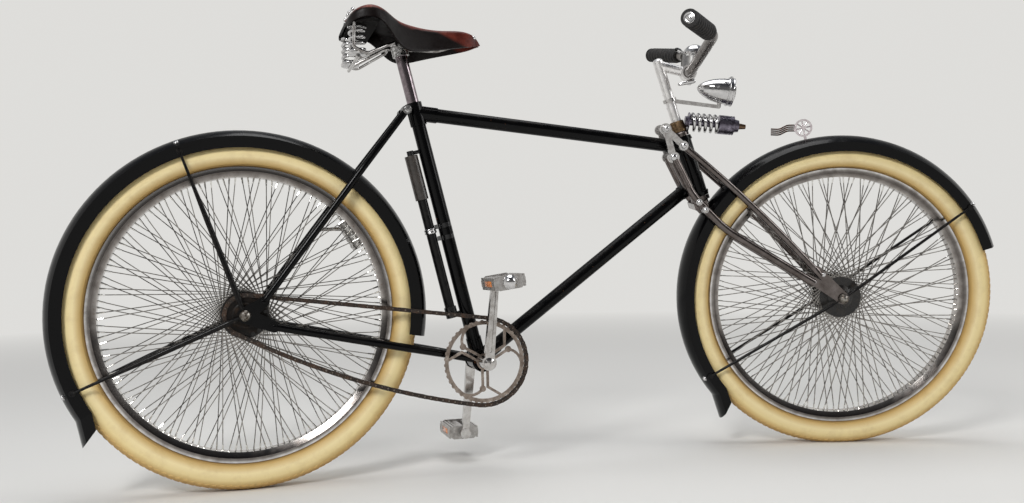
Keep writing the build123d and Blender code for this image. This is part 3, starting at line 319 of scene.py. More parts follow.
for name, seat, reach, radius, high, finish_of in (
        ("seat_lug_bolt", seat_point(410, 21), 9, 5, 4, plate_steel),
        ("seat_stay_bolt", at(34.6, 0, 24.5), 66, 4, 2.5, enamel),
        ("chain_stay_bolt", at(53.2, 0, -23.2), 66, 4, 2.5, enamel),
        ("stay_cluster_bolt", seat_point(406.2, 22.5), 34, 7.4, 5, plate_steel)):
    for side, way in (("right", -ACROSS), ("left", ACROSS)):
        head(f"{name}_{side}", seat + way * reach * MM, way, radius * MM, high * MM, finish_of, "frame")

# Tyres
# Cream rubber balloon tyres, moulded, with a tread of small staggered bars. The sidewalls are smooth, pale
# across the middle and darker by the rim and beside the tread, partly from dirt and partly painted shade.
TYRE_CENTRE, TYRE_HALF, WHEELBASE, TURNED_BY = 309.0, 29.5, 1297, radians(-19.8)
REAR_HUB = at(0, 0, 0)
steering = next(joint for joint in frame["joints"] if joint["name"] == "steering")
STEER_POINT, STEER_AXIS = Vector(steering["pos_m"]), Vector(steering["axis"])


def about(point, matrix):
    """A turn taken about a point."""
    return Matrix.Translation(point) @ matrix @ Matrix.Translation(-point)


# The front end is drawn straight ahead and stands turned to the right
STEERED = about(STEER_POINT, Matrix.Rotation(TURNED_BY, 4, STEER_AXIS))
TO_FRONT = STEERED @ Matrix.Translation(Vector((WHEELBASE, 0, 0)) * MM)
FRONT_HUB, FRONT_AXLE = TO_FRONT @ REAR_HUB, (TO_FRONT.to_3x3() @ ACROSS).normalized()


def wheel_place(tree, place, hub, axle):
    """Distance from the axle and along it, in metres, for a material on a wheel."""
    arm = vectors(tree, "SUBTRACT", place, hub)
    along = vectors(tree, "DOT_PRODUCT", arm, axle)
    part = add_node(tree, "ShaderNodeVectorMath", {0: axle, "Scale": along}, operation="SCALE").outputs[0]
    flat = vectors(tree, "SUBTRACT", arm, part)
    return vectors(tree, "LENGTH", flat), along


def ring_copies(piece, count, hub, axle):
    """Repeats a piece round an axle as one mesh."""
    pivot = placed("pivot", None)
    pivot.matrix_world = about(hub, Matrix.Rotation(2 * pi / count, 4, axle))
    bpy.context.view_layer.update()
    finish(piece, "ARRAY", count=count, use_relative_offset=False, use_object_offset=True,
           offset_object=pivot)
    bpy.data.objects.remove(pivot)


def front_copy(piece, name, body):
    """The same piece on the front wheel, with its own mesh."""
    twin = piece.copy()
    twin.data = piece.data.copy()
    twin.data.transform(TO_FRONT)
    twin.name = name
    bpy.context.scene.collection.objects.link(twin)
    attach(twin, body)
    return twin


def narrow(piece, chosen, scale):
    """Draws together the corners of a piece that pass a test of their place."""
    bpy.ops.object.select_all(action="DESELECT")
    piece.select_set(True)
    bpy.context.view_layer.objects.active = piece
    bpy.ops.object.mode_set(mode="EDIT")
    bpy.ops.mesh.select_all(action="DESELECT")
    bpy.ops.object.mode_set(mode="OBJECT")
    for corner in piece.data.vertices:
        corner.select = chosen(corner.co)
    bpy.ops.object.mode_set(mode="EDIT")
    bpy.ops.transform.resize(value=scale)
    bpy.ops.object.mode_set(mode="OBJECT")


def joined(parts):
    """Several meshes as one."""
    bpy.ops.object.select_all(action="DESELECT")
    for part in parts:
        part.select_set(True)
    bpy.context.view_layer.objects.active = parts[0]
    bpy.ops.object.join()
    return parts[0]


WHEELS = (("rear", REAR_HUB, ACROSS), ("front", FRONT_HUB, FRONT_AXLE))
tread_materials = {}
for wheel, hub, axle in WHEELS:
    rubber, tree, shader, place = new_material(f"cream_tyre_rubber_{wheel}", Specular_IOR_Level=0.4)
    radial, along = wheel_place(tree, place, hub, axle)
    grime = noise(tree, place, 30, 8.0, Roughness=0.65)
    # Painted shade: the ramp darkens the sidewall towards the rim and the tread, on top of the dirt there
    sidewall_tone_and_painted_shade = colours(tree, rescaled(tree, radial, 0.286, 0.3385), (0.0, "#9a7743"), (0.1, "#cfac6a"),
                   (0.35, "#fbe8b4"), (0.6, "#f8e2a6"), (0.82, "#dcb976"), (0.97, "#b9935a"))
    dirt = rescaled(tree, grime, 0.48, 0.8, 0.0, 0.3)
    dirt_and_painted_shade = mixed(tree, dirt, sidewall_tone_and_painted_shade, linear("#b8935a"))
    feed(tree, shader, Base_Color=dirt_and_painted_shade, Roughness=rescaled(tree, grime, 0.3, 0.7, 0.52, 0.72))
    # Two moulded lines run round each sidewall, over a fine skin of flow marks
    outward = add_node(tree, "ShaderNodeCombineXYZ", {0: radial}).outputs[0]
    lines = add_node(tree, "ShaderNodeTexWave", {"Vector": outward, "Scale": 1 / (6.283 * 2.6 * MM)},
                     wave_profile="SIN")
    near_line = rescaled(tree, radial, 0.324, 0.3285)
    height = maths(tree, "MULTIPLY", lines.outputs["Fac"], near_line)
    both = maths(tree, "MULTIPLY_ADD", noise(tree, place, 1.6, 2.0), 0.25, height)
    emboss(tree, shader, both, 0.35, 0.5)
    dress(rubber, f"{wheel}_tyre")
    tread_materials[wheel] = rubber

BARS, BAR_LONG, BAR_WIDE, BAR_HIGH = 150, 9.5, 5.2, 1.3
rows = []
for row, lean in enumerate((-46, -28, -10, 10, 28, 46)):
    bpy.ops.mesh.primitive_cube_add(size=1)
    bar = bpy.context.object
    bar.scale = (BAR_LONG * MM, BAR_WIDE * MM, BAR_HIGH * MM)
    bpy.ops.object.transform_apply(scale=True)
    # The bar's outer face is drawn in, as it leaves its mould
    narrow(bar, lambda co: co.z > 0, (0.82, 0.75, 1))
    slant = Matrix.Rotation(radians(28 if row % 2 else -28), 4, "Z")
    out = Matrix.Translation(Vector((0, 0, TYRE_HALF * MM)))
    tilt = Matrix.Rotation(radians(lean), 4, "X")
    up = Matrix.Translation(REAR_HUB + Vector((0, 0, TYRE_CENTRE * MM)))
    bar.data.transform(up @ tilt @ out @ slant)
    bar.data.transform(about(REAR_HUB, Matrix.Rotation(row % 2 * pi / BARS, 4, ACROSS)))
    ring_copies(bar, BARS, REAR_HUB, ACROSS)
    rows.append(bar)
joined(rows)
tread = settle("rear_tread", tread_materials["rear"], "rear_wheel")
front_tread = front_copy(tread, "front_tread", "front_wheel")
front_tread.data.materials.clear()
front_tread.data.materials.append(tread_materials["front"])

# Rims
# Steel rims, rolled and chromed, with specks of rust. Their colour holds a painted highlight along the
# rolled edges and a painted reflection of dark surroundings on the sunken wall between them. Each spoke ends
# in a bright plated nipple, screwed on from inside the rim.
for wheel, hub, axle in WHEELS:
    plating, tree, shader, place = new_material(f"chromed_rim_{wheel}", Metallic=1.0)
    radial, along = wheel_place(tree, place, hub, axle)
    film = noise(tree, place, 18, 6.0)
    specks = noise(tree, place, 3, 4.0)
    hazy = colours(tree, film, (0.32, "#b1adaa"), (0.66, "#dddbd9"))
    # Painted highlight on the rolled edge, and painted reflection of dark surroundings on the sunken wall
    # beside it
    painted_rim_reflection = colours(tree, rescaled(tree, radial, 0.264, 0.287), (0.0, "#f4f2f0"), (0.22, "#b9b5b2"),
                   (0.5, "#7f7a77"), (0.72, "#a9a5a2"), (0.86, "#ffffff"))
    clean = mixed(tree, 1.0, hazy, painted_rim_reflection, blend_type="MULTIPLY")
    # Rust gathers in the angle under the rim's side wall
    inside = rescaled(tree, radial, 0.27, 0.278, 0.1, 0.0)
    rust = rescaled(tree, maths(tree, "ADD", specks, inside), 0.72, 0.78, 0.0, 0.6)
    worn = mixed(tree, rust, clean, linear("#5f3d28"))
    feed(tree, shader, Base_Color=worn, Roughness=rescaled(tree, film, 0.3, 0.7, 0.24, 0.12))
    dress(plating, f"{wheel}_rim")

nipple_steel = weathered("plated_nipple_brass", 7, 2.0, ((0.3, "#cfccc6"), (0.7, "#f4f3f0")), None,
                         Metallic=1.0, Roughness=0.16)


def stood(point, way):
    """The place at a point, with its own z axis along a way."""
    return Matrix.Translation(point) @ way.to_track_quat("Z", "Y").to_matrix().to_4x4()


RIM_BED, SPOKE_HOLES, NIPPLE_LONG, ROW_SPOKES = 265.8, 41.0, 13.0, 36
rows = []
NIPPLE_ROWS = ((-1, -75, 31.2, 5.5), (1, -75, 31.2, 5.5), (-1, 75, 28.8, 2.0), (1, 75, 28.8, 2.0))
for row, (side, lean, hub_y, rim_y) in enumerate(NIPPLE_ROWS):
    inner = at(SPOKE_HOLES * cos(radians(lean)), side * hub_y, SPOKE_HOLES * sin(radians(lean)))
    outer = at(RIM_BED, side * rim_y, 0)
    way = (outer - inner).normalized()
    bpy.ops.mesh.primitive_cylinder_add(vertices=8, radius=1.9 * MM, depth=NIPPLE_LONG * MM)
    nipple = bpy.context.object
    narrow(nipple, lambda co: co.z < 0, (0.72, 0.72, 1))
    nipple.data.transform(stood(outer - way * NIPPLE_LONG / 2 * MM, way))
    nipple.data.transform(about(REAR_HUB, Matrix.Rotation(radians(row * 2.5), 4, ACROSS)))
    ring_copies(nipple, ROW_SPOKES, REAR_HUB, ACROSS)
    rows.append(nipple)
joined(rows)
nipples = settle("rear_nipples", nipple_steel, "rear_wheel")
front_copy(nipples, "front_nipples", "front_wheel")

# Hubs and spokes
# Drum-shaped hub shells between steel flanges, stove-enamelled black with a worn gloss. The spokes are drawn
# steel wire, dulled to a pewter colour, and the bearings' and axles' steel is greasy.
for wheel, hub, axle in WHEELS:
    shell, tree, shader, place = new_material(f"enamelled_hub_{wheel}")
    radial, along = wheel_place(tree, place, hub, axle)
    is_spoke = rescaled(tree, radial, 0.0451, 0.0454)
    film = noise(tree, place, 12, 5.0)
    paint = colours(tree, film, (0.35, "#0c0c0d"), (0.75, "#2b2622"))
    wire = colours(tree, film, (0.3, "#6a6662"), (0.7, "#a9a5a0"))
    both = mixed(tree, is_spoke, paint, wire)
    feed(tree, shader, Base_Color=both, Metallic=is_spoke,
         Roughness=rescaled(tree, film, 0.3, 0.7, 0.2, 0.36))
    dress(shell, f"{wheel}_hub")
worn_steel = weathered("greasy_bearing_steel", 6, 5.0, ((0.35, "#453c33"), (0.62, "#9c9892")),
                       (0.3, 0.65, 0.55, 0.26), Metallic=1.0)
dress(worn_steel, "front_bearings", "rear_bearings", "rear_axle", "front_axle")

# Mudguards
# Deep guards pressed from sheet steel and enamelled black, with dust on top and scuffs. A chromed dome bolt
# holds each stay's end through the guard's shoulder.
guard_enamel, tree, shader, place = new_material("black_guard_enamel", Coat_Weight=0.08, Coat_Roughness=0.06,
                                                 Specular_IOR_Level=0.14)
dust = noise(tree, place, 35, 7.0)
scuff = noise(tree, place, 5, 5.0, Roughness=0.7)
lying = rescaled(tree, facing_up(tree), 0.0, 1.0, 0.3, 1.0)
cover = maths(tree, "MULTIPLY", dust, lying)
clean = colours(tree, cover, (0.3, "#030304"), (0.85, "#171513"))
marks = rescaled(tree, scuff, 0.72, 0.78, 0.0, 0.5)
worn = mixed(tree, marks, clean, linear("#4c443e"))
feed(tree, shader, Base_Color=worn, Roughness=rescaled(tree, cover, 0.15, 0.7, 0.14, 0.42))
dress(guard_enamel, "rear_mudguard", "front_mudguard")

chrome = weathered("chromed_steel", 15, 6.0, ((0.35, "#c6c5c5"), (0.65, "#d8d7d7")), (0.3, 0.7, 0.24, 0.08),
                   pits=(1.6, 3.0, 0.74, 0.79, 0.7, "#6b4c36"), Metallic=1.0)

GUARD_SHOULDER, SHOULDER_Y, SHOULDER_RISE = 349.0, 30.3, 46.6
for name, body, angles in (("rear", "frame", (109.75, 203.2)), ("front", "fork", (35.8, 211.8))):
    for number, angle in enumerate(angles):
        for side in (-1, 1):
            out = Vector((cos(radians(angle)), 0, sin(radians(angle))))
            seat = REAR_HUB + out * GUARD_SHOULDER * MM + ACROSS * side * SHOULDER_Y * MM
            way = (out * SHOULDER_RISE + ACROSS * side * SHOULDER_Y).normalized()
            if name == "front":
                seat, way = TO_FRONT @ seat, (TO_FRONT.to_3x3() @ way).normalized()
            label = "right" if side < 0 else "left"
            head(f"{name}_guard_bolt_{number}_{label}", seat, way, 4.2 * MM, 3 * MM, chrome, body,
                 sides=20)

# Mudguard stays
# Flat-eyed steel bars, blacked and rubbed grey in places. They are bolted to the guards and the dropouts.
blacked = weathered("blacked_stay_steel", 8, 6.0, ((0.4, "#0b0b0c"), (0.62, "#1d1b1a"), (0.72, "#4a443f")),
                    (0.3, 0.7, 0.22, 0.5), unevenness=0.65, Coat_Weight=0.05, Specular_IOR_Level=0.14)
dress(blacked, "rear_mudguard_stays", "front_mudguard_stays")

# Seat post and saddle frame
# A plated tube gone dull, and chromed wires bent under the seat, which end at a blacked cantle plate. The
# clamp that joins them is forged steel with a plated nut at each side.
post_plating = weathered("dull_seat_post_plating", 9, 6.0, ((0.35, "#7a7274"), (0.65, "#94898e")),
                         (0.3, 0.7, 0.22, 0.12), Metallic=1.0)
dress(post_plating, "seat_post")
frame_chrome, tree, shader, place = new_material("chromed_wire_and_black_cantle", Specular_IOR_Level=0.12)
film = noise(tree, place, 12, 6.0)
high_up = add_node(tree, "ShaderNodeSeparateXYZ", {0: place}).outputs["Z"]
is_wire = rescaled(tree, high_up, -0.0395, -0.0385, 1.0, 0.0)
wire = colours(tree, film, (0.35, "#8d8885"), (0.65, "#cfcdcb"))
both = mixed(tree, is_wire, linear("#0f0d0c"), wire)
feed(tree, shader, Base_Color=both, Metallic=is_wire, Roughness=rescaled(tree, is_wire, 0.0, 1.0, 0.8, 0.2))
dress(frame_chrome, "saddle_rails")
dress(plate_steel, "saddle_clamp")
for side, way in (("right", -ACROSS), ("left", ACROSS)):
    head(f"saddle_clamp_nut_{side}", seat_point(533) + way * 37 * MM, way, 6.5 * MM, 6 * MM, plate_steel,
         "frame")

# Saddle springs
# Two coils of tempered wire, chromed. They stand in pressed cups between the frame's rear bar and the cantle
# plate.
SPRING_X, SPRING_Y, COIL_LOW, COIL_HIGH, COIL_WIRE = 222.0, 58.0, 503.5, 557.0, 3.1


def face_out(mend=None, **settings):
    """Mends the active piece's mesh where asked to, and turns its faces outward."""
    bpy.ops.object.mode_set(mode="EDIT")
    bpy.ops.mesh.select_all(action="SELECT")
    if mend:
        mend(**settings)
        bpy.ops.mesh.select_all(action="SELECT")
    bpy.ops.mesh.normals_make_consistent(inside=False)
    bpy.ops.object.mode_set(mode="OBJECT")


def coil(name, foot, way, high, turns, radius, wire, material, body):
    """A coil of round wire that climbs from its foot along a way."""
    bpy.ops.object.select_all(action="DESELECT")
    bpy.ops.mesh.primitive_circle_add(vertices=12, radius=wire, rotation=(pi / 2, 0, 0),
                                      location=(radius, 0, 0))
    piece = bpy.context.object
    bpy.ops.object.transform_apply(location=True, rotation=True, scale=True)
    steps = round(24 * turns)
    finish(piece, "SCREW", angle=2 * pi * turns, screw_offset=high, steps=steps, render_steps=steps,
           axis="Z")
    face_out(bpy.ops.mesh.fill_holes, sides=12)
    piece.data.transform(stood(foot, way))
    return settle(name, material, body, 60)


def turned(name, centre, way, profile, material, body, steps=24, sharp=35):
    """A piece turned round an axis, from points (distance along it, radius) in millimetres."""
    bpy.ops.object.select_all(action="DESELECT")
    mesh = bpy.data.meshes.new(name)
    mesh.from_pydata([(radius * MM, 0, along * MM) for along, radius in profile],
                     [(number, number + 1) for number in range(len(profile) - 1)], [])
    piece = placed(name, mesh)
    piece.select_set(True)
    finish(piece, "SCREW", steps=steps, render_steps=steps, use_merge_vertices=True,
           merge_threshold=0.01 * MM)
    face_out(bpy.ops.mesh.remove_doubles, threshold=0.01 * MM)
    piece.data.transform(stood(centre, way))
    return settle(name, material, body, sharp)


UP = Vector((0, 0, 1))
SPRING_CUP = ((0, 0), (0, 17), (0.5, 18), (5, 18.6), (5, 17.8), (3, 17.4), (3, 0))
springs = []
for side, y in (("right", -SPRING_Y), ("left", SPRING_Y)):
    springs.append(coil(f"saddle_coil_{side}", at(SPRING_X, y, COIL_LOW + COIL_WIRE), UP,
                        (COIL_HIGH - COIL_LOW - 2 * COIL_WIRE) * MM, 3.75, 14.6 * MM, COIL_WIRE * MM, chrome,
                        "frame"))
    for end, z, way in (("low", 500.5, UP), ("high", 560, -UP)):
        springs.append(turned(f"spring_cup_{end}_{side}", at(SPRING_X, y, z), way, SPRING_CUP, chrome,
                              "frame"))
all_springs = joined(springs)
all_springs.name = "saddle_spring_pair"
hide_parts("saddle_springs")

# Saddle leather
# One thick hide, blocked wet over the frame and riveted at both ends. It is red-brown where it faces up and
# along the nose, and nearly black down the sides, with creases and a fine grain. The red-brown is partly its
# polish where the rider sits and partly painted light, and the black sides are partly painted shade.

# Each station: x, top, half width, drop of the shoulder, half width of the lower edge, its height
STATIONS = ((200, 566, 60, 3, 58, 556), (206, 580, 84, 6, 83, 558), (220, 595, 96, 10, 97, 566),
            (248, 606, 103, 14, 104, 571), (274, 600, 90, 16, 96, 562), (292, 588, 73, 14, 82, 538),
            (308, 579, 60, 11, 74, 519), (330, 573, 51, 9, 66, 510), (365, 568, 38, 7, 50, 517),
            (400, 567, 30, 6, 40, 524), (440, 571, 25, 6, 33, 531), (468, 565, 20, 6, 22, 536),
            (480, 552, 12, 5, 12, 541), (485, 545, 6, 3, 6, 541))
# Round a station from the lower right edge over the top: shares of the shoulder's width, its drop, the skirt
SECTION = ((1, 1, 1), (1, 1, 0.55), (1, 1, 0.12), (0.93, 0.62, 0), (0.6, 0.16, 0), (0, 0, 0),
           (-0.6, 0.16, 0), (-0.93, 0.62, 0), (-1, 1, 0.12), (-1, 1, 0.55), (-1, 1, 1))
bpy.ops.object.select_all(action="DESELECT")
bpy.ops.mesh.primitive_grid_add(x_subdivisions=len(STATIONS) - 1, y_subdivisions=len(SECTION) - 1, size=2)
hide = bpy.context.object
for corner in hide.data.vertices:
    x, top, wide, drop, low_wide, low = STATIONS[round((corner.co.x + 1) / 2 * (len(STATIONS) - 1))]
    across, fall, skirt = SECTION[round((corner.co.y + 1) / 2 * (len(SECTION) - 1))]
    shoulder = top - drop * fall
    side = wide + (low_wide - wide) * skirt
    corner.co = at(x, -across * side, shoulder + (low - shoulder) * skirt)
face_out()
finish(hide, "SUBSURF", levels=2, render_levels=2)
finish(hide, "SOLIDIFY", thickness=4.2 * MM, offset=-1, use_even_offset=True)
finish(hide, "BEVEL", width=1.2 * MM, segments=2, limit_method="ANGLE", angle_limit=radians(60))

leather, tree, shader, place = new_material("riveted_saddle_leather", Specular_IOR_Level=0.16,
                                            Coat_Weight=0.03, Coat_Roughness=0.3)
spot = add_node(tree, "ShaderNodeSeparateXYZ", {0: place})
polish = noise(tree, place, 28, 5.0, Roughness=0.6)
# Painted light: what faces up takes the red-brown, and the sides fall to a near-black painted shade
facing_light_and_polish = maths(tree, "MULTIPLY_ADD", polish, 0.5, facing_up(tree))
rubbed_and_lit_top = rescaled(tree, facing_light_and_polish, 0.66, 0.95)
# The nose is red-brown down to its lower edge, from a line that leans forward as it falls: partly rubbed
# leather and partly painted light, with painted shade behind the line
along_nose = maths(tree, "MULTIPLY_ADD", spot.outputs["Z"], 2.16, spot.outputs["X"])
nose_rubbed_and_lit = rescaled(tree, along_nose, 0.026, 0.044, 0.0, 0.9)
rubbed_and_painted_light = maths(tree, "MAXIMUM", rubbed_and_lit_top, nose_rubbed_and_lit)
# The nose is rubbed redder than the seat
toward_nose = rescaled(tree, spot.outputs["X"], 0.0, 0.17)
seat_colour = colours(tree, polish, (0.3, "#4a201a"), (0.55, "#6b332a"), (0.75, "#8a4a3c"))
nose_colour = colours(tree, polish, (0.3, "#451610"), (0.7, "#6d2a1c"))
top_colour = mixed(tree, toward_nose, seat_colour, nose_colour)
whole = mixed(tree, rubbed_and_painted_light, linear("#0d0605"), top_colour)
feed(tree, shader, Base_Color=whole, Roughness=rescaled(tree, polish, 0.3, 0.7, 0.28, 0.5))
grain = add_node(tree, "ShaderNodeTexVoronoi", {"Vector": place, "Scale": 1 / (1.3 * MM)},
                 feature="DISTANCE_TO_EDGE")
crease = noise(tree, place, 9, 6.0, Distortion=1.2)
height = maths(tree, "MULTIPLY_ADD", crease, 2.5, grain.outputs["Distance"])
emboss(tree, shader, height, 0.35, 0.35, coat=True)
settle("saddle_hide", leather, "frame", 50)
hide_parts("saddle_leather")

# Saddle rivets
# Domed plated rivets that hold the hide, five in the cantle plate and three at the nose.
RIVET = ((-2, 0), (-2, 4.2), (0.8, 4.6), (1.8, 3.6), (2.4, 1.8), (2.5, 0))
RIVETS = ((212, 0, 594, -0.7, 0), (211, 32, 592.5, -0.7, 0.15), (211, -32, 592.5, -0.7, -0.15),
          (214, 62, 591, -0.6, 0.4), (214, -62, 591, -0.6, -0.4), (476, 0, 556.5, 0.8, 0),
          (470, -15, 556, 0.5, -0.8), (470, 15, 556, 0.5, 0.8))
for number, (x, y, z, lean_x, lean_y) in enumerate(RIVETS):
    way = Vector((lean_x, lean_y, 0.6)).normalized()
    turned(f"saddle_rivet_{number}", at(x, y, z), way, RIVET, chrome, "frame", steps=16, sharp=60)

# Pump
# A black celluloid barrel with a plated ring and a worn grey handle. Two pegs and a clamp hold it behind the
# seat tube.
pump_black = weathered("black_celluloid", 10, 6.0, ((0.4, "#09090a"), (0.7, "#191716")),
                       (0.3, 0.7, 0.25, 0.5), Coat_Weight=0.1, Coat_Roughness=0.2, Specular_IOR_Level=0.2)
dress(pump_black, "pump_barrel")
handle_grey = weathered("worn_pump_handle", 7, 7.0, ((0.35, "#34302d"), (0.65, "#453f3b")),
                        (0.3, 0.7, 0.28, 0.38), Coat_Weight=0.2, Coat_Roughness=0.25)
dress(handle_grey, "pump_handle")
# The pegs and the strap's run round the tube are black, and the clamp on the barrel is plated
PUMP_BACK, CLAMP_LOW, CLAMP_TOP, EDGE = 32.0, 0.152, 0.3, 0.0005
clip_steel, tree, shader, place = new_material("pump_clip_steel")
film = noise(tree, place, 6, 6.0)
from_foot = vectors(tree, "SUBTRACT", place, seat_point(0, PUMP_BACK))
off_line = vectors(tree, "CROSS_PRODUCT", from_foot, SEAT_UP)
off_barrel = vectors(tree, "LENGTH", off_line)
up_tube = vectors(tree, "DOT_PRODUCT", from_foot, SEAT_UP)
near_barrel = rescaled(tree, off_barrel, 0.0124, 0.0126, 1.0, 0.0)
at_clamp = rescaled(tree, maths(tree, "SUBTRACT", up_tube, CLAMP_LOW), 0.0, EDGE)
plated = maths(tree, "MULTIPLY", near_barrel, at_clamp)
below_top = rescaled(tree, up_tube, CLAMP_TOP, CLAMP_TOP + EDGE, 1.0, 0.0)
plated = maths(tree, "MULTIPLY", plated, below_top)
shine = colours(tree, film, (0.35, "#a9a6a3"), (0.65, "#d9d8d6"))
both = mixed(tree, plated, linear("#0c0c0d"), shine)
feed(tree, shader, Base_Color=both, Metallic=plated, Roughness=rescaled(tree, film, 0.3, 0.7, 0.4, 0.2))
dress(clip_steel, "pump_clips")
PUMP_RING = ((0, 9.9), (0, 12), (1, 12.8), (3, 12.8), (4, 12), (6, 12), (7, 12.8), (9, 12.8), (10, 12),
             (10, 9.9))
turned("pump_ring", seat_point(158, PUMP_BACK), SEAT_UP, PUMP_RING, chrome, "frame", steps=32,
       sharp=50)

# Bottle dynamo
# A finned aluminium shell, bright with dull patches, whose roller runs on the rear tyre's wall. A rod fixes
# it to the left seat stay.
cast_metal = weathered("bright_dynamo_aluminium", 7, 6.0, ((0.35, "#8d8a86"), (0.65, "#cdcbc8")),
                       (0.3, 0.7, 0.4, 0.22), Metallic=1.0)
dress(cast_metal, "dynamo")

# Chain and sprocket
# A half-inch roller chain, brown with rust and old oil and rubbed bright in places, over a steel sprocket
# black with oil. Each pin's ends are riveted over the outer plates.
rusty, tree, shader, place = new_material("rusty_chain_steel")
oil = noise(tree, place, 14, 7.0, Roughness=0.65)
fleck = noise(tree, place, 2.5, 4.0)
body_colour = colours(tree, oil, (0.3, "#15100d"), (0.5, "#2b1f17"), (0.7, "#4a3323"))
bare = rescaled(tree, fleck, 0.6, 0.7, 0.0, 0.6)
whole = mixed(tree, bare, body_colour, linear("#7d746a"))
feed(tree, shader, Base_Color=whole, Metallic=bare, Roughness=rescaled(tree, fleck, 0.4, 0.65, 0.65, 0.32))
dress(rusty, "chain")
oily = weathered("oil_blacked_sprocket_steel", 12, 7.0,
                 ((0.35, "#0b0a09"), (0.55, "#1d1713"), (0.75, "#3f3025")), (0.3, 0.7, 0.35, 0.7),
                 unevenness=0.65, Specular_IOR_Level=0.2)
dress(oily, "sprocket")

PITCH, RING_TEETH, SPROCKET_TEETH, CHAIN_Y, PLATE_FACE = 12.7, 44, 19, -47.0, 3.7
SPROCKET_R, RING_R = (PITCH / 2 / sin(pi / teeth) for teeth in (SPROCKET_TEETH, RING_TEETH))
SPAN, SLOPE, STRAIGHT = hypot(BB_X, BB_Z), atan2(BB_Z, BB_X), 1e6


def outer_run(radius, side):
    """The arc of a circle that holds both toothed wheels: its centre, and its angles at each of them."""
    near, far = radius - SPROCKET_R, radius - RING_R
    turn = SLOPE + side * acos((near ** 2 + SPAN ** 2 - far ** 2) / (2 * near * SPAN))
    x, z = near * cos(turn), near * sin(turn)
    return (x, z), atan2(-z, -x), atan2(BB_Z - z, BB_X - x)


def chain_loop(slack_r):
    """The loop's arcs, clockwise from the sprocket's top: centre, radius, first and last angle."""
    above, taut_start, taut_end = outer_run(STRAIGHT, -1)
    below, slack_end, slack_start = outer_run(slack_r, 1)
    return ((above, STRAIGHT, taut_start, taut_end), ((BB_X, BB_Z), RING_R, taut_end, slack_start),
            (below, slack_r, slack_start, slack_end), ((0, 0), SPROCKET_R, slack_end, taut_start - 2 * pi))


def loop_point(loop, distance):
    """The point at a distance along the loop."""
    for (x, z), radius, first, last in (*loop, loop[0]):
        angle = first - distance / radius
        if angle > last:
            break
        distance -= radius * (first - last)
    return x + radius * cos(angle), z + radius * sin(angle)


def step_pins(loop, count):
    """Pins a pitch apart, and the distance that the last step reaches."""
    distance, pins = 0.0, [loop_point(loop, 0)]
    for number in range(count):
        x, z = pins[-1]
        distance += PITCH
        for correction in range(4):
            ahead = loop_point(loop, distance)
            distance += PITCH - hypot(ahead[0] - x, ahead[1] - z)
        pins.append(loop_point(loop, distance))
    return distance, pins


LINKS, low, high = 108, SPAN, STRAIGHT
for halving in range(60):
    slack_r = sqrt(low * high)
    slack_loop = chain_loop(slack_r)
    reach, pins = step_pins(slack_loop, LINKS)
    whole_loop = sum(radius * (first - last) for centre, radius, first, last in slack_loop)
    low, high = (slack_r, high) if reach < whole_loop else (low, slack_r)
heads = bmesh.new()
for x, z in pins[:LINKS]:
    for side in (-1, 1):
        seat = Matrix.Translation(at(x, CHAIN_Y + side * (PLATE_FACE + 0.45), z))
        bmesh.ops.create_cone(heads, cap_ends=True, segments=8, radius1=1.9 * MM, radius2=1.3 * MM,
                              depth=0.9 * MM, matrix=seat @ Matrix.Rotation(-side * pi / 2, 4, "X"))
mesh = bpy.data.meshes.new("chain_pin_heads")
heads.to_mesh(mesh)
heads.free()
bpy.ops.object.select_all(action="DESELECT")
pin_heads = placed("chain_pin_heads", mesh)
pin_heads.select_set(True)
bpy.context.view_layer.objects.active = pin_heads
pin_steel = weathered("worn_pin_heads", 5, 4.0, ((0.35, "#4a3f37"), (0.65, "#9a9087")), None, Metallic=1.0,
                      Roughness=0.4)
settle("chain_pin_heads", pin_steel, "frame")

# Chainring and cranks
# Forged steel arms and a pressed ring, nickelled and worn. The arms are bright with a few rusty pits, and
# the ring is browned all over.
nickel = weathered("worn_crank_nickel", 11, 7.0, ((0.3, "#b0aba7"), (0.5, "#c4c1be"), (0.7, "#d4d2d0")),
                   (0.3, 0.7, 0.2, 0.1), unevenness=0.62, pits=(2, 3.0, 0.7, 0.76, 0.5, "#573a28"),
                   Metallic=1.0)
dress(nickel, "crank_right", "crank_left", "crank_axle")
ring_nickel = weathered("browned_chainring_nickel", 13, 7.0,
                        ((0.3, "#75685f"), (0.5, "#978a80"), (0.7, "#b5aaa1")), (0.3, 0.7, 0.4, 0.22),
                        unevenness=0.6, Metallic=1.0)
dress(ring_nickel, "chainring")

# Pedals
# Cast aluminium end plates and ribbed blocks, dull with dirt. Each long side holds an orange reflector, and
# a domed plated cap closes the outer end.
pedal_metal, tree, shader, place = new_material("cast_pedal_aluminium", Metallic=0.9)
film = noise(tree, place, 8, 7.0, Roughness=0.65)
cast = noise(tree, place, 0.8, 2.0)
feed(tree, shader, Base_Color=colours(tree, film, (0.32, "#a09b97"), (0.52, "#bebbb8"), (0.7, "#d4d2d0")),
     Roughness=rescaled(tree, film, 0.3, 0.7, 0.55, 0.34))
emboss(tree, shader, cast, 0.25, 0.2)
dress(pedal_metal, "pedal_right", "pedal_left")

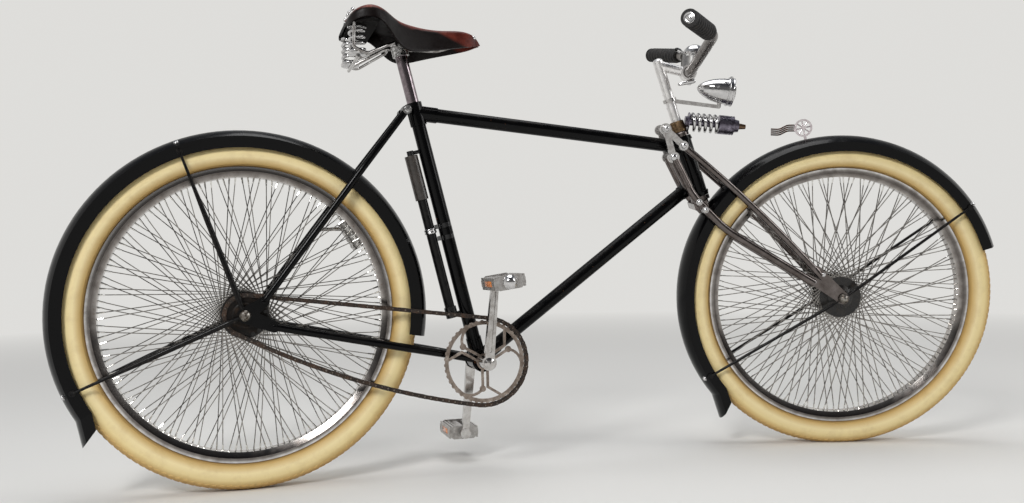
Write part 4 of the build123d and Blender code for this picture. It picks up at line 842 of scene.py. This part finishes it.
amber, tree, shader, place = new_material("amber_reflector", Roughness=0.12, Coat_Weight=0.6,
                                          Coat_Roughness=0.05)
cells = add_node(tree, "ShaderNodeTexVoronoi", {"Vector": place, "Scale": 1 / (2.2 * MM)}, feature="F1")
feed(tree, shader, Base_Color=colours(tree, cells.outputs["Distance"], (0.1, "#f59b31"), (0.6, "#e0761a")))
emboss(tree, shader, cells.outputs["Distance"], 0.6, 0.5)
REFLECTOR, REFLECTOR_OUT = (1.9, 49.2, 11.2), 30.1
CRANK_ANGLE, CRANK_LONG, CAP_OUT = radians(6.0), 165, 46.5
CRANK_WAY = Vector((sin(CRANK_ANGLE), 0, cos(CRANK_ANGLE)))
DUST_CAP = ((0, 0), (0, 13), (1, 13.8), (4, 13.8), (5, 12.6), (8.5, 10.4), (11, 6.5), (12, 3), (12.2, 0))
for body, spindle, middle, tilt in (("pedal_right", BB + CRANK_WAY * CRANK_LONG * MM, -137, 8),
                                ("pedal_left", BB - CRANK_WAY * CRANK_LONG * MM, 125, 0)):
    outward = ACROSS if middle > 0 else -ACROSS
    cap_seat = Vector((spindle.x, (middle + (CAP_OUT if middle > 0 else -CAP_OUT)) * MM, spindle.z))
    turned(f"{body}_dust_cap", cap_seat, outward, DUST_CAP, chrome, body, steps=28, sharp=50)
    for number, side in enumerate((-1, 1)):
        bpy.ops.object.select_all(action="DESELECT")
        bpy.ops.mesh.primitive_cube_add(size=1)
        reflector = bpy.context.object
        reflector.scale = Vector(REFLECTOR) * MM
        bpy.ops.object.transform_apply(scale=True)
        finish(reflector, "BEVEL", width=0.6 * MM, segments=2)
        reflector.data.transform(Matrix.Translation(Vector((side * REFLECTOR_OUT * MM, 0, 0))))
        reflector.data.transform(Matrix.Rotation(radians(-tilt), 4, "Y"))
        reflector.data.transform(Matrix.Translation(Vector((spindle.x, middle * MM, spindle.z))))
        settle(f"{body}_reflector_{number}", amber, body)

# Girder fork
# Steel blades, struts and axle plates, nickelled over and tarnished to a grey brown. The castings at the top
# are bright, and domed bolts close each pivot.
tarnish = weathered("tarnished_fork_nickel", 24, 7.0,
                    ((0.32, "#5a5350"), (0.5, "#69625f"), (0.7, "#7a7371")), (0.3, 0.7, 0.26, 0.15),
                    unevenness=0.6, pits=(2.4, 4.0, 0.74, 0.79, 0.4, "#4b3022"), Metallic=1.0)
dress(tarnish, "fork_blades", "fork_struts", "fork_crown", "fork_plates")

bright = weathered("bright_cast_nickel", 9, 6.0, ((0.33, "#b0acaa"), (0.6, "#c9c7c5")),
                   (0.3, 0.7, 0.36, 0.18), Metallic=1.0)
dress(bright, "fork_castings", "lamp_bracket")

HEAD_ANGLE, HEAD_FOOT = radians(72.4), at(985.65, 0, 235.97)
HEAD_UP = Vector((-cos(HEAD_ANGLE), 0, sin(HEAD_ANGLE)))
HEAD_FORWARD = Vector((sin(HEAD_ANGLE), 0, cos(HEAD_ANGLE)))


def on_head(up, forward=0.0, y=0.0):
    """A point of the turned front end, from the head tube's lower end, in millimetres."""
    return STEERED @ (HEAD_FOOT + (HEAD_UP * up + HEAD_FORWARD * forward + ACROSS * y) * MM)


def steered(way):
    """A direction of the front end, turned as it stands."""
    return (STEERED.to_3x3() @ way).normalized()


SIDES = ((-1, "right"), (1, "left"))
DOME = ((-0.5, 0), (-0.5, 1.25), (0.5, 1.3), (0.5, 1), (2.6, 0.92), (4.2, 0.62), (4.9, 0.25), (5, 0))
PIVOTS = (("upper_crown", -18.0, -12.7, 63, 5.4), ("lower_crown", -38.3, -4.9, 63, 5.4),
          ("casting_top", 156.6, -33.9, 65, 6.6), ("blade_foot", 92.2, -35.9, 59, 7.6),
          ("strut_foot", 109.5, -7.9, 59, 6.4))
for name, up, forward, face, wide in PIVOTS:
    for side, label in SIDES:
        turned(f"{name}_bolt_{label}", on_head(up, forward, side * face), steered(ACROSS * side),
               [(along, radius * wide) for along, radius in DOME], chrome, "fork", steps=20,
               sharp=50)
for number, (x, z) in enumerate(((-64, 38), (-44, 53))):
    for side, label in SIDES:
        head(f"axle_plate_rivet_{number}_{label}", TO_FRONT @ at(x, side * 54, z), steered(ACROSS * side),
             3.6 * MM, 2.4 * MM, chrome, "fork", sides=20)

# Steering nut
# A turned brass nut on top of the head, its plating worn off to a dull copper brown.
brass = weathered("worn_brass_nut", 6, 6.0, ((0.35, "#574633"), (0.65, "#8f775c")), (0.3, 0.7, 0.5, 0.3),
                  Metallic=1.0)
dress(brass, "steering_nut")

# Shock
# A can of grey anodised aluminium in front of a bright open coil, turned and ending in a dull brass nozzle.
SHOCK_TILT, COIL_LONG = radians(23.5), 66.0
shock_seat = on_head(155.1, 26.0)
shock_way = steered(HEAD_FORWARD * cos(SHOCK_TILT) - HEAD_UP * sin(SHOCK_TILT))
can_grey, tree, shader, place = new_material("grey_shock_can", Metallic=1.0)
film = noise(tree, place, 10, 6.0)
nozzle_end = shock_seat + shock_way * 126 * MM
from_end = vectors(tree, "DISTANCE", place, nozzle_end)
is_nozzle = rescaled(tree, from_end, 0.0165, 0.0155)
grey = colours(tree, film, (0.33, "#4f4a55"), (0.65, "#8b8693"))
both = mixed(tree, is_nozzle, grey, linear("#6f5a48"))
feed(tree, shader, Base_Color=both, Roughness=rescaled(tree, film, 0.3, 0.7, 0.4, 0.24))
dress(can_grey, "shock_body")
shock_coil = coil("shock_coil", shock_seat + shock_way * 3.7 * MM, shock_way, (COIL_LONG - 7.4) * MM, 4.75,
                  18 * MM, 3.6 * MM, chrome, "fork")
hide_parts("shock_spring")

# Stem
# A steel quill stem in satin nickel. A small lever bolt under the bar pinches its clamp.
satin = weathered("satin_stem_nickel", 13, 7.0, ((0.33, "#dddbd9"), (0.62, "#efedec")),
                  (0.3, 0.7, 0.42, 0.26), Metallic=1.0)
dress(satin, "stem")
BAR_UP, BAR_FORWARD = 258.1, 56.0
bar_middle = HEAD_FOOT + (HEAD_UP * BAR_UP + HEAD_FORWARD * BAR_FORWARD) * MM
turned("stem_lever", on_head(BAR_UP - 21, BAR_FORWARD + 6, -20.5), steered(Vector((-0.95, 0, -0.22))),
       ((-2, 0), (-1, 4), (2, 5.4), (7, 5.8), (14, 5), (24, 4.4), (33, 3.6), (37, 2.2), (38, 0)), chrome,
       "fork", steps=20, sharp=60)
turned("stem_bolt_head", on_head(BAR_UP - 20, BAR_FORWARD, 17), steered(ACROSS),
       ((0, 0), (0, 6.5), (1, 7), (5, 7), (6, 5.5), (6.2, 0)), chrome, "fork", steps=6, sharp=30)

# Handlebar
# A bent steel tube, its plating dulled by hands and specked with rust.
bar_chrome = weathered("worn_handlebar_chrome", 18, 7.0, ((0.33, "#746f6c"), (0.62, "#8b8784")),
                       (0.3, 0.7, 0.36, 0.14), pits=(2, 4.0, 0.76, 0.8, 0.4, "#5a3c29"), Metallic=1.0)
dress(bar_chrome, "handlebar")

# Grips
# Moulded black rubber sleeves with rings under the fingers and a flange at the end, closed by a plated disc.
grip_rubber = weathered("black_grip_rubber", 9, 6.0, ((0.35, "#131314"), (0.7, "#343130")),
                        (0.3, 0.7, 0.55, 0.8), Specular_IOR_Level=0.35)
dress(grip_rubber, "grips")
RIBS, GRIP_RIB = 9, ((0, 15.6), (1.5, 17), (3, 17.6), (6.5, 17.6), (8, 17), (9.5, 15.6))
for side, label in SIDES:
    end = bar_middle + Vector((-44, side * 324, 74)) * MM
    inner = bar_middle + Vector((23, side * 192, 57)) * MM
    run = (inner - end).normalized()
    place_of_end = STEERED @ end
    turned(f"grip_rings_{label}", place_of_end, steered(run),
           [(7 + rib * 12 + along, radius) for rib in range(RIBS) for along, radius in GRIP_RIB],
           grip_rubber, "fork", steps=32, sharp=30)
    turned(f"grip_disc_{label}", place_of_end - steered(run) * 4 * MM, -steered(run),
           ((-1, 0), (-1, 10.8), (0.4, 11.2), (1.2, 10.6), (1.4, 9), (0.8, 8), (0.8, 5), (1.6, 3.4),
            (1.8, 0)), chrome, "fork", steps=32)

# Bell
# A chromed dome, clamped on the bar, with a thumb lever that ends in a black ball.
dress(chrome, "bell")
BELL_KNOB = ((0, 0), (0.6, 3), (2, 4.6), (4.5, 5.3), (7, 4.6), (8.4, 3), (9, 0))
bell_foot = bar_middle + Vector((5, -62, 31)) * MM
turned("bell_lever_knob", STEERED @ (bell_foot + Vector((-38.5, -6, 8.5)) * MM), UP, BELL_KNOB, pump_black,
       "fork", steps=20, sharp=60)

# Headlamp
# A spun and chromed shell on a flat bracket link. Its beaded rim, closed by a screw at the bottom, clamps a
# pressed glass with flutes.
dress(chrome, "headlamp")
glass, tree, shader, place = new_material("pressed_lamp_glass", Roughness=0.04, IOR=1.5,
                                          Transmission_Weight=1.0, Base_Color=linear("#f4f6f4"))
flutes = add_node(tree, "ShaderNodeTexWave", {"Vector": place, "Scale": 1 / (6.283 * 5 * MM)},
                  wave_profile="SIN", bands_direction="Y")
emboss(tree, shader, flutes.outputs["Fac"], 0.5, 1.0)
dress(glass, "headlamp_lens")
lamp_tip, lamp_face = bar_middle + Vector((20, 0, -33)) * MM, bar_middle + Vector((99, 0, -44)) * MM
lamp_way = (lamp_face - lamp_tip).normalized()
lamp_down = lamp_way.cross(ACROSS)
turned("lamp_rim_bead", STEERED @ (lamp_tip + lamp_way * 66 * MM), steered(lamp_way),
       ((0, 30.3), (0.5, 31.4), (2, 31.8), (3.5, 31.4), (4, 30.6), (10, 30.6), (10.8, 31.6), (12.5, 31.8),
        (13.8, 31.2), (14.2, 29), (14, 26.1)), chrome, "fork", steps=48, sharp=50)
turned("lamp_rim_screw", STEERED @ (lamp_tip + lamp_way * 73 * MM + lamp_down * 30 * MM), steered(lamp_down),
       ((0, 0), (0, 3.4), (1, 3.8), (3.5, 3.8), (4.4, 2.6), (4.6, 0)), chrome, "fork", steps=16)

# Mudguard marker
# A spoked ring of bright wire on a stalk through the front guard. Four rusty iron wires trail behind it.
marker_wire, tree, shader, place = new_material("marker_wire", Metallic=1.0)
film = noise(tree, place, 4, 6.0)
MARK_OUT, MARK_ANGLE = 383.7, radians(102.1)
MARK = STEERED @ at(WHEELBASE + MARK_OUT * cos(MARK_ANGLE), 0, MARK_OUT * sin(MARK_ANGLE))
from_ring = vectors(tree, "DISTANCE", place, MARK)
spot = add_node(tree, "ShaderNodeSeparateXYZ", {0: place})
behind = maths(tree, "LESS_THAN", spot.outputs["X"], MARK.x)
past_ring = maths(tree, "MULTIPLY", rescaled(tree, from_ring, 0.0195, 0.023), behind)
bright_wire = colours(tree, film, (0.35, "#cfc3c6"), (0.65, "#eee8ea"))
iron = colours(tree, film, (0.35, "#2b211d"), (0.65, "#6b4c40"))
whole = mixed(tree, past_ring, bright_wire, iron)
feed(tree, shader, Base_Color=whole, Roughness=rescaled(tree, past_ring, 0.0, 1.0, 0.18, 0.6))
dress(marker_wire, "mudguard_marker")
